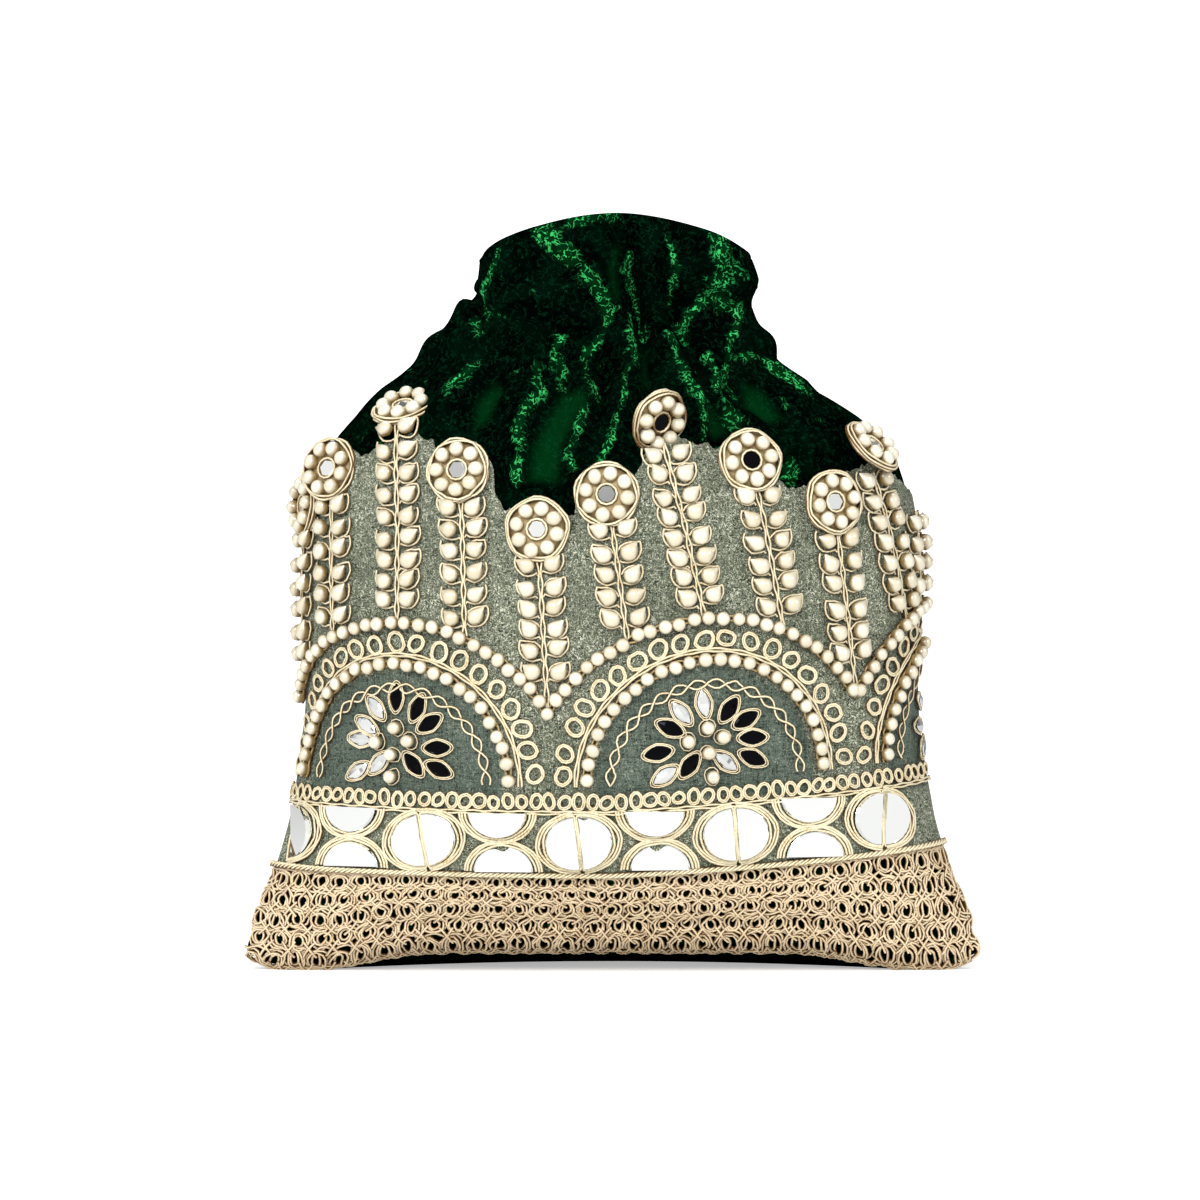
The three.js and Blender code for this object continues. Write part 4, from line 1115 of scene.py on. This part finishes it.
def cord_run(paths, s, z, lift=lace_lift, strands=2, gap=0.62, wave=0.0, closed=False):
    """Adds a cord of one or two strands side by side along an (s, z) line."""
    s, z = np.asarray(s, float), np.asarray(z, float)
    if closed:
        ds, dz = np.roll(s, -1) - np.roll(s, 1), np.roll(z, -1) - np.roll(z, 1)
    else:
        ds, dz = np.gradient(s), np.gradient(z)
    length = np.hypot(ds, dz) + 1e-9
    phase = chance.uniform(0, 6)
    for strand in range(strands):
        side = (strand - (strands - 1) / 2) * gap
        side = side + wave * np.sin(np.arange(len(s)) * 1.3 + phase + strand * math.pi)
        raised = lift + 0.12 * np.sin(np.arange(len(s)) * 1.9 + phase + strand * 2)
        lay(paths, cloth(s - dz / length * side, z + ds / length * side, raised), closed)


def ring_run(paths, s, z, radius, strands=2, tall=1.0):
    """Adds a ring of cord round one point. Its ends cross, so it isn't quite round."""
    turn = full_turn(12) + chance.uniform(0, 6)
    wobble = 1 + 0.11 * np.sin(2 * turn + chance.uniform(0, 6)) + chance.normal(0, 0.035, 12)
    wide = radius * chance.uniform(0.92, 1.08)
    ring = s + wide * wobble * np.cos(turn), z + wide * tall * wobble * np.sin(turn)
    cord_run(paths, *ring, strands=strands, gap=0.52, closed=True)


def sewn_cord(name, paths, nodes=(), radius=cord_radius, sides=5, material=gold_cord):
    inputs = {"Radius": radius * mm, "Sides": sides, "Material": material}
    thing = grown(name, *gather_paths(paths), round_cord, **inputs)
    if nodes:
        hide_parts(*nodes)
    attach(thing, "root")


# how far each kind of cord arch lies outside the inner pearls, to the side and at the top
arch_cord_out = (3.1, 2.6)
ring_row_out = (7.3, 6.0)
loop_chain_out = (-6.6, -6.9)


def arch_beside(centre, out, steps=200):
    return arch_line(centre, inner_arch_half_width + out[0], inner_arch_top + out[1], steps)


arch_paths, thread_and_shadow_paths = [], []
# The dark gold thread under the pearls is partly the thread they are sewn with and partly a painted shadow
# where it shows between them.
thread_and_shadow_lay = {"lift": seat + 0.35, "gap": 1.7, "wave": 0.3}
cord_run(thread_and_shadow_paths, outer_s[::2], outer_height(outer_s[::2]), **thread_and_shadow_lay)
for centre in arch_centres:
    cord_run(arch_paths, *arch_beside(centre, arch_cord_out, 80), wave=0.14, gap=0.78)
    cord_run(thread_and_shadow_paths, *arch_beside(centre, (0, 0), 90), **thread_and_shadow_lay)
sewn_cord("arch_cords", arch_paths, numbered("arch_cord", 3))
sewn_cord("pearl_threads", thread_and_shadow_paths, radius=0.5, sides=4, material=dark_thread)

# the rings between the two rows of pearls
ring_radius = 2.4
ring_pitch = 6.6
ring_cord_radius = 0.42
ring_paths = []
for centre in arch_centres:
    for s, z in zip(*spaced(*arch_beside(centre, ring_row_out), ring_pitch)):
        if z < outer_height(s) - 4.2 and z > inner_arch_foot + 1.5 + float(border_lift(s)):
            ring_run(ring_paths, s + chance.normal(0, 0.25), z + chance.normal(0, 0.25), ring_radius)
sewn_cord("ring_rows", ring_paths, radius=ring_cord_radius)

# the chains of small loops inside the inner pearls
loop_length = 5.4
loop_step = 0.68
chain_paths = []
for centre in arch_centres:
    s, z = spaced(*arch_beside(centre, loop_chain_out), loop_step)
    if len(s) < 12:
        continue
    along = np.arange(len(s)) * loop_step
    ds, dz = np.gradient(s), np.gradient(z)
    length = np.hypot(ds, dz)
    for strand in (-1, 1):
        side = strand * 1.3 * np.sin(along / loop_length * math.pi) + chance.normal(0, 0.06, len(s))
        lift = lace_lift + 0.2 + 0.3 * strand * np.cos(along / loop_length * math.pi)
        lay(chain_paths, cloth(s - dz / length * side, z + ds / length * side, lift))
sewn_cord("loop_chains", chain_paths, radius=0.38)

# Bead stems: a doubled cord up the cloth with a pair of leaf beads at every step, each in a loop of
# cord that leaves the stem below it. The two that stand in the dips between arches have a long bare foot.
leaf_pitch = 6.1
leaf_reach = 3.75
leaf_leans = {-1: 34, 1: 46}
short_foot = 0.6
long_foot = 6.0
leaf_profile = [(-2.7, 0), (-2.4, 1.15), (-1.6, 2.05), (-0.5, 2.5), (0.7, 2.3)]
leaf_profile += [(1.7, 1.6), (2.6, 0.8), (3.3, 0.3), (3.6, 0)]
leaf_bead = lathe_mesh("leaf_bead", leaf_profile, 12, 0.07)
# the loop of cord round a leaf, from the stem round its underside, and the part over its top
loop_scale = 0.97
leaf_outline = [(-3.4, -3.3), (-2.9, -2.4), (-1.9, -2.9), (-0.5, -3.2), (0.9, -2.9), (2.1, -2.0), (2.9, -0.8)]
leaf_outline += [(3.3, 0.7), (3.2, 2.2), (2.9, 3.2)]
leaf_overline = [(2.9, 3.2), (1.7, 2.9), (0.3, 2.9), (-1.2, 2.5), (-2.4, 1.6), (-3.3, 0.2)]
leaf_outline, leaf_overline = loop_scale * np.array(leaf_outline), loop_scale * np.array(leaf_overline)
leaf_places = []
stem_paths = []
# a part of an eleventh stem at the right side, whose head doesn't show
edge_stem = (101.5, 99.0, 139.0)
for index, (foot, top, head) in enumerate([*stems, edge_stem]):
    low = float(outer_height(foot)) + 2.6
    high = head - head_radius * (0.45 if index == 2 else 0.85) + 0.4
    in_dip = min(abs(foot - centre) for centre in arch_centres + [arch_offset - 2 * arch_pitch])
    bare = long_foot if abs(in_dip - arch_pitch / 2) < 6 else short_foot
    pairs = max(2, round((high - low - bare) / leaf_pitch))
    step = (high - low - bare) / pairs
    spine_z = np.arange(low - 1.6, high + 0.5, 1.3)
    spine_s = mix(foot, top, (spine_z - low) / (head - low))
    cord_run(stem_paths, spine_s, spine_z, lace_lift + 0.3, 2, 0.85, 0.22)
    for k in range(pairs):
        level = low + bare + (k + 0.5) * step + chance.normal(0, 0.15)
        stem_s = mix(foot, top, (level - low) / (head - low))
        for side in (-1, 1):
            s = stem_s + side * (leaf_reach + chance.normal(0, 0.12))
            z = level + chance.normal(0, 0.3) + (0.5 if side > 0 else -0.2)
            lean = math.radians(chance.normal(leaf_leans[side], 9))
            spin = lean if side > 0 else math.pi - lean
            size = chance.normal(1.0, 0.05, 3) * (0.98, 1.0, 0.86)
            turn = turn_of(*cloth_axes(s, z), spin)
            leaf_places.append((cloth(s, z, seat + 1.5), turn, size, chance.uniform(0.0, 0.9)))
            loose = chance.uniform(0.92, 1.06)
            for line, share in ((leaf_outline, 1.0), (leaf_overline, 0.55)):
                if chance.uniform() < share:
                    path_z = z + line[:, 1] * loose * 0.92 + chance.normal(0, 0.1, len(line))
                    cord_run(stem_paths, s + side * line[:, 0] * loose, path_z, strands=1)
sew("leaf_beads", leaf_bead, leaf_places, ivory, numbered("bead_stem", len(stems)))
sewn_cord("stem_cords", stem_paths, radius=0.42)

# Rosettes: eight pearls in a ring round a small mirror, on a stiffened disc with a doubled cord rim.
# Three of them have come loose along one side and stand off the cloth at a slant.
# radius of each turn of a rosette's rim and its height off the disc, and the same for its mirror's rim
rim_turns = ((9.1, 0.9), (8.5, 1.6), (8.9, 0.1))
glass_rim = (3.0, 1.8)
rosette_pearl_size = 1.12
rosette_pearl_lift = 2.2
rosette_glass_lift = 1.3
rosette_pearls = 8
rosette_ring = 5.95
# which way each hinges, how far it has swung up, and how far it faces the front rather than off the cloth
rosette_swings = {
    0: (90.0, 0.0, 0.1),
    1: (90.0, 8.0, 0.2),
    2: (20.0, -52.0, 0.8),
    6: (50.0, 47.0, 0.7),
    9: (128.0, 54.0, 0.8),
}
# how bright each rosette's mirror looks, a painted reflection: the low ones are painted dark, as if the
# mirror faced a dark part of the room
rosette_mirror_reflections = [0.9, 0.95, 0.9, 0.62, 1.0, 0.42, 0.0, 0.0, 0.85, 0.9]
mirror_glass, mirror_tree, mirror_surface = plain_material("cut_mirror", (0.9, 0.91, 0.91), 0.05, 1.0)
# each mirror's shade value sets its colour, from a painted dark reflection to bright glass
mirror_reflection = point_value(mirror_tree, "shade")
mirror_tones = (0.0, (0.006, 0.006, 0.007)), (1.0, (0.89, 0.90, 0.88))
feed(mirror_tree, colour_ramp(mirror_tree, mirror_reflection, *mirror_tones), mirror_surface.inputs["Base Color"])
disc_profile = [(-0.5, 0), (-0.5, 8.4), (0.5, 8.4), (0.9, 5.0), (0.9, 0)]
rosette_disc = lathe_mesh("rosette_disc", disc_profile, 24)
glass_profile = [(-0.3, 0), (-0.3, 2.9), (0.35, 2.9), (0.6, 2.4), (0.62, 0)]
rosette_mirror = lathe_mesh("rosette_mirror", glass_profile, 6, smooth=False)
disc_places, rosette_pearl_places, rosette_mirror_places, rosette_paths = [], [], [], []


def on_rosette(rosette, across, up, off):
    """A point on a rosette in millimetres, from its middle: across it, up it and off it."""
    centre, along, upward, outward = rosette
    return np.array(centre + along * across + upward * up + outward * off)


for index, (_, top, head) in enumerate(stems):
    along, upward, outward = (Vector(axis) for axis in cloth_axes(top, head))
    axis_turn, tilt, front_share = rosette_swings.get(index, (0.0, 0.0, 0.0))
    outward = outward.lerp(Vector((0, -1, 0.1)), front_share).normalized()
    along = (along - outward * along.dot(outward)).normalized()
    upward = outward.cross(along)
    hinge = along * math.cos(math.radians(axis_turn)) + upward * math.sin(math.radians(axis_turn))
    swing = Matrix.Rotation(math.radians(tilt), 3, hinge)
    centre = Vector(cloth(top, head, seat + 0.4 + head_radius * math.sin(math.radians(tilt)) * 0.55))
    centre.z = head + 0.4
    along, upward, outward = swing @ along, swing @ upward, swing @ outward
    facing = turn_of(np.array(outward), np.array(along), np.array(upward))
    rosette = centre, along, upward, outward
    disc_places.append((centre, facing, (1, 1, 1), 0.3))
    spin = chance.uniform(0, 1)
    for k in range(rosette_pearls):
        turn = (k + spin) / rosette_pearls * 2 * math.pi
        radius = rosette_ring + chance.normal(0, 0.12)
        place = on_rosette(rosette, radius * math.cos(turn), radius * math.sin(turn), rosette_pearl_lift)
        size = chance.normal(rosette_pearl_size, 0.03, 3)
        rosette_pearl_places.append((place, (0, 0, 0), size, chance.uniform(0.2, 1)))
    place = on_rosette(rosette, 0, 0, rosette_glass_lift)
    rosette_mirror_places.append((place, facing, (1, 1, 1), rosette_mirror_reflections[index]))
    for radius, off in rim_turns:
        turn = full_turn(30)
        wobble = radius + 0.24 * np.sin(turn * 5 + chance.uniform(0, 6)) + chance.normal(0, 0.09, 30)
        rim = [on_rosette(rosette, r * math.cos(a), r * math.sin(a), off) for r, a in zip(wobble, turn)]
        lay(rosette_paths, np.array(rim), True)
    radius, off = glass_rim
    rim = [on_rosette(rosette, radius * math.cos(a), radius * math.sin(a), off) for a in full_turn(12)]
    lay(rosette_paths, np.array(rim), True)
sew("rosette_pearls", pearl_bead, rosette_pearl_places, ivory, numbered("stem_head", len(stems)))
sew("rosette_discs", rosette_disc, disc_places, dark_thread)
sew("rosette_mirrors", rosette_mirror, rosette_mirror_places, mirror_glass)
sewn_cord("rosette_rims", rosette_paths, sides=6, radius=0.46)

# Sprays: pointed petals of cut mirror round a cluster of pearls, each petal outlined with cord. Places
# are from the middle of the spray, across and up. A petal marked 0 has a painted dark reflection, one marked
# 1 is bright.
spray_height = 66.0
spray_petals = {
    0: [(0, 13.9, 0), (6.7, 11, 0), (10.4, 6.7, 0), (12.8, -0.3, 0), (13.3, -6.4, 0), (5.5, -5.2, 0)]
    + [(-6.7, 10.7, 1), (-9.9, 5.5, 1), (-12.2, 1.5, 1), (-5.5, -5.2, 1), (-12.5, -7.8, 1)],
    1: [(-7.3, 8.4, 1), (-0.9, 11, 1), (6.4, 9.3, 0), (11.3, 6.4, 0), (-10.4, 4.1, 0), (13.3, 1.2, 0)]
    + [(-13.9, -2.9, 0), (-4.9, -6.4, 0), (-11.9, -9.3, 1), (5.5, -5.5, 1), (13.3, -4.6, 0)],
}
spray_petals[2] = [(x, z, 1) for x, z, _ in spray_petals[1]]
spray_pearls = {
    0: [(0.3, 5.2), (-5.8, 0.9), (4.4, 1.5), (-0.9, -2.6), (-0.9, -9)],
    1: [(0, 4.1), (4.4, 1.5), (-5.5, 0.3), (0.3, -2.9), (1.5, -9.6)],
}
spray_pearls[2] = spray_pearls[1]
petal_length = 7.8
petal_width = 3.7
petal_outlines = (1.24, 1.46)
petal_profile = [(-petal_length / 2, 0)]
for x in (-3.1, -2, -1, 0, 1, 2, 3.1):
    petal_profile.append((x, petal_width / 2 * math.cos(x / petal_length * math.pi) ** 0.8))
petal_profile.append((petal_length / 2, 0))
petal_mirror = lathe_mesh("petal_mirror", petal_profile, 8, smooth=False)
petal_places, spray_pearl_places, spray_paths = [], [], []
for index, arch_centre in enumerate(arch_centres):
    centre_z = spray_height + float(border_lift(arch_centre))
    for x, z, bright in spray_petals[index]:
        s, up = arch_centre + x, centre_z + z
        if abs(s) > cloth_end - 1:
            continue
        spin = math.atan2(z, x) + chance.normal(0, 0.08)
        turn = turn_of(*cloth_axes(s, up), spin)
        # the petal mirror's colour: bright, or a painted dark reflection
        petal_places.append((cloth(s, up, seat + 0.5), turn, (1, 1, 0.32), bright * chance.uniform(0.85, 1)))
        c, d = math.cos(spin), math.sin(spin)
        turn = full_turn(16)
        for radius in petal_outlines:
            u = radius * petal_length / 2 * np.cos(turn) * 0.86
            v = radius * petal_width / 2 * np.sin(turn) * (1 - 0.25 * np.abs(np.cos(turn)))
            cord_run(spray_paths, s + u * c - v * d, up + u * d + v * c, strands=1, closed=True)
    for x, z in spray_pearls[index]:
        s, up = arch_centre + x, centre_z + z
        if abs(s) < cloth_end - 1:
            size = chance.normal(1, 0.03, 3)
            spray_pearl_places.append((cloth(s, up, seat + 2.0), (0, 0, 0), size, chance.uniform(0.3, 1)))
            ring_run(spray_paths, s, up, 2.3, 1)
sew("spray_mirrors", petal_mirror, petal_places, mirror_glass, numbered("mirror_spray", 3))
sew("spray_pearls", pearl_bead, spray_pearl_places, ivory)
sewn_cord("spray_outlines", spray_paths, sides=4, radius=0.30)

# The ring braid: small rings of cord side by side, on a straight doubled cord. It is sewn along the foot of
# the arches, and follows the border as it rises to the right.
braid_height = 50.9
braid_pitch = 4.06
braid_ring_radius = 1.62
braid_cord_drop = 3.1
braid_end = seam_reach(braid_height) - border_margin
braid_paths = []
for s in np.arange(-braid_end + 1, braid_end - 1, braid_pitch):
    height = braid_height + float(border_lift(s)) + chance.normal(0, 0.15)
    place = s + chance.normal(0, 0.2), height
    ring_run(braid_paths, *place, braid_ring_radius, tall=chance.uniform(1.05, 1.3))
s = np.arange(-braid_end, braid_end, 1.4)
cord_run(braid_paths, s, braid_height - braid_cord_drop + border_lift(s), wave=0.14, gap=0.75)
sewn_cord("ring_braid_cords", braid_paths, ["ring_braid"], radius=0.40)

# The mirror band: round mirrors split down the middle, in turn with halves set back to back. All are
# framed with doubled cord, and a twisted cord runs under them.
mirror_radius = 7.5
half_depth = 9.1
mirror_split = 1.1
moon_depth = 7.2
moon_half_width = 8.6
mirror_height = 39.2
moons_apart = 17.0
mirror_offset = -9.5
mirror_pitch = 44.73
twist_radius = 0.55
twist_rate = 1.3
mirror_end = seam_reach(mirror_height) - border_margin
mirror_points, mirror_faces, band_paths = [], [], []


def half_mirror(s, z, facing, depth, half_width, frame_grow):
    """A half disc of glass with a worked edge, its straight side at s and z, in a frame of doubled cord."""
    turn = np.linspace(-right_angle, right_angle, 17)
    out = np.concatenate([np.cos(turn) * depth, np.linspace(0, 0, 3)])
    side = np.concatenate([np.sin(turn) * half_width, np.array([0.5, 0, -0.5]) * half_width])
    c, d = math.cos(facing), math.sin(facing)
    start = len(mirror_points)
    tilt = chance.normal(0, 0.012, 2)
    for share, lift in ((1.0, 0.1), (1.0, 0.75), (0.95, 1.25)):
        u, v = 0.3 * depth + (out - 0.3 * depth) * share, side * share
        grid_s, grid_z = s + u * c - v * d, z + u * d + v * c
        middle = cloth(s, z, seat + lift)
        along, upward, outward = cloth_axes(s, z)
        for a, b in zip(grid_s - s, grid_z - z):
            wrapped = cloth(s + a, z + b, seat + lift)
            flat = middle + along * a + upward * b + outward * (a * tilt[0] + b * (tilt[1] + outward[2]))
            mirror_points.append(mix(wrapped, flat, 0.5 if lift < 1 else 1.0) * mm)
    count = len(out)
    for ring in range(2):
        for k in range(count):
            a, b = start + ring * count + k, start + ring * count + (k + 1) % count
            mirror_faces.append((a, b, b + count, a + count))
    mirror_faces.append(tuple(start + 2 * count + k for k in range(count)))
    mirror_faces.append(tuple(start + k for k in reversed(range(count))))
    turn = np.linspace(-right_angle, right_angle, 15)
    for deeper, wider, closed in frame_grow:
        u, v = np.cos(turn) * (depth + deeper), np.sin(turn) * (half_width + wider)
        if closed:
            back = np.linspace(0.9, -0.9, 6) * (half_width + wider)
            u, v = np.concatenate([u, 0 * back - 0.32]), np.concatenate([v, back])
        u = u + 0.12 * np.sin(np.arange(len(u)) * 1.7 + chance.uniform(0, 6))
        cord_run(band_paths, s + u * c - v * d, z + u * d + v * c, strands=1, closed=closed)


round_frame = ((0.55, 0.45, True), (1.75, 0.75, False), (2.6, 1.4, False))
moon_frame = ((0.45, 0.8, False), (1.2, 1.75, False), (1.75, 2.5, False))
mirror_slants = {-2: 4.0, -1: 11.0, 0: 7.0, 1: 5.0, 2: -3.0}
for k, slant in mirror_slants.items():
    middle = mirror_offset + k * mirror_pitch
    pair = middle + mirror_pitch / 2
    level = mirror_height + float(border_lift(middle))
    for way in (-1, 1):
        if abs(middle + way * half_depth) < mirror_end:
            s = middle + way * mirror_split / 2
            facing = math.radians(slant) + (math.pi if way < 0 else 0)
            half_mirror(s, level, facing, half_depth, mirror_radius, round_frame)
    for way in (-1, 1):
        level = mirror_height + way * moons_apart / 2 + float(border_lift(pair))
        if abs(pair) + moon_half_width < mirror_end:
            facing = -way * right_angle
            half_mirror(pair - way * 0.8, level, facing, moon_depth, moon_half_width, moon_frame)
cut_mirrors = mesh_object("cut_mirrors", mirror_points, mirror_faces, mirror_glass, False)
store(cut_mirrors.data, "shade", np.ones(len(mirror_points)))
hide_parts(*numbered("half_mirror", 17))
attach(cut_mirrors, "root")
for strand_phase in (0.0, 2.1, 4.2):
    s = np.arange(-mirror_end, mirror_end, 0.9)
    z = knit_top + 0.7 + border_lift(s) + twist_radius * np.sin(s * twist_rate + strand_phase)
    lay(band_paths, cloth(s, z, lace_lift + 0.2 + 0.45 * np.cos(s * twist_rate + strand_phase)))
sewn_cord("mirror_frames", band_paths, sides=6, radius=0.48)

# The single beads that were repeated aren't pieces of the bag.
for bead in (pearl_bead, leaf_bead, rosette_disc, rosette_mirror, petal_mirror):
    bpy.data.objects.remove(bead)


bpy.context.view_layer.update()
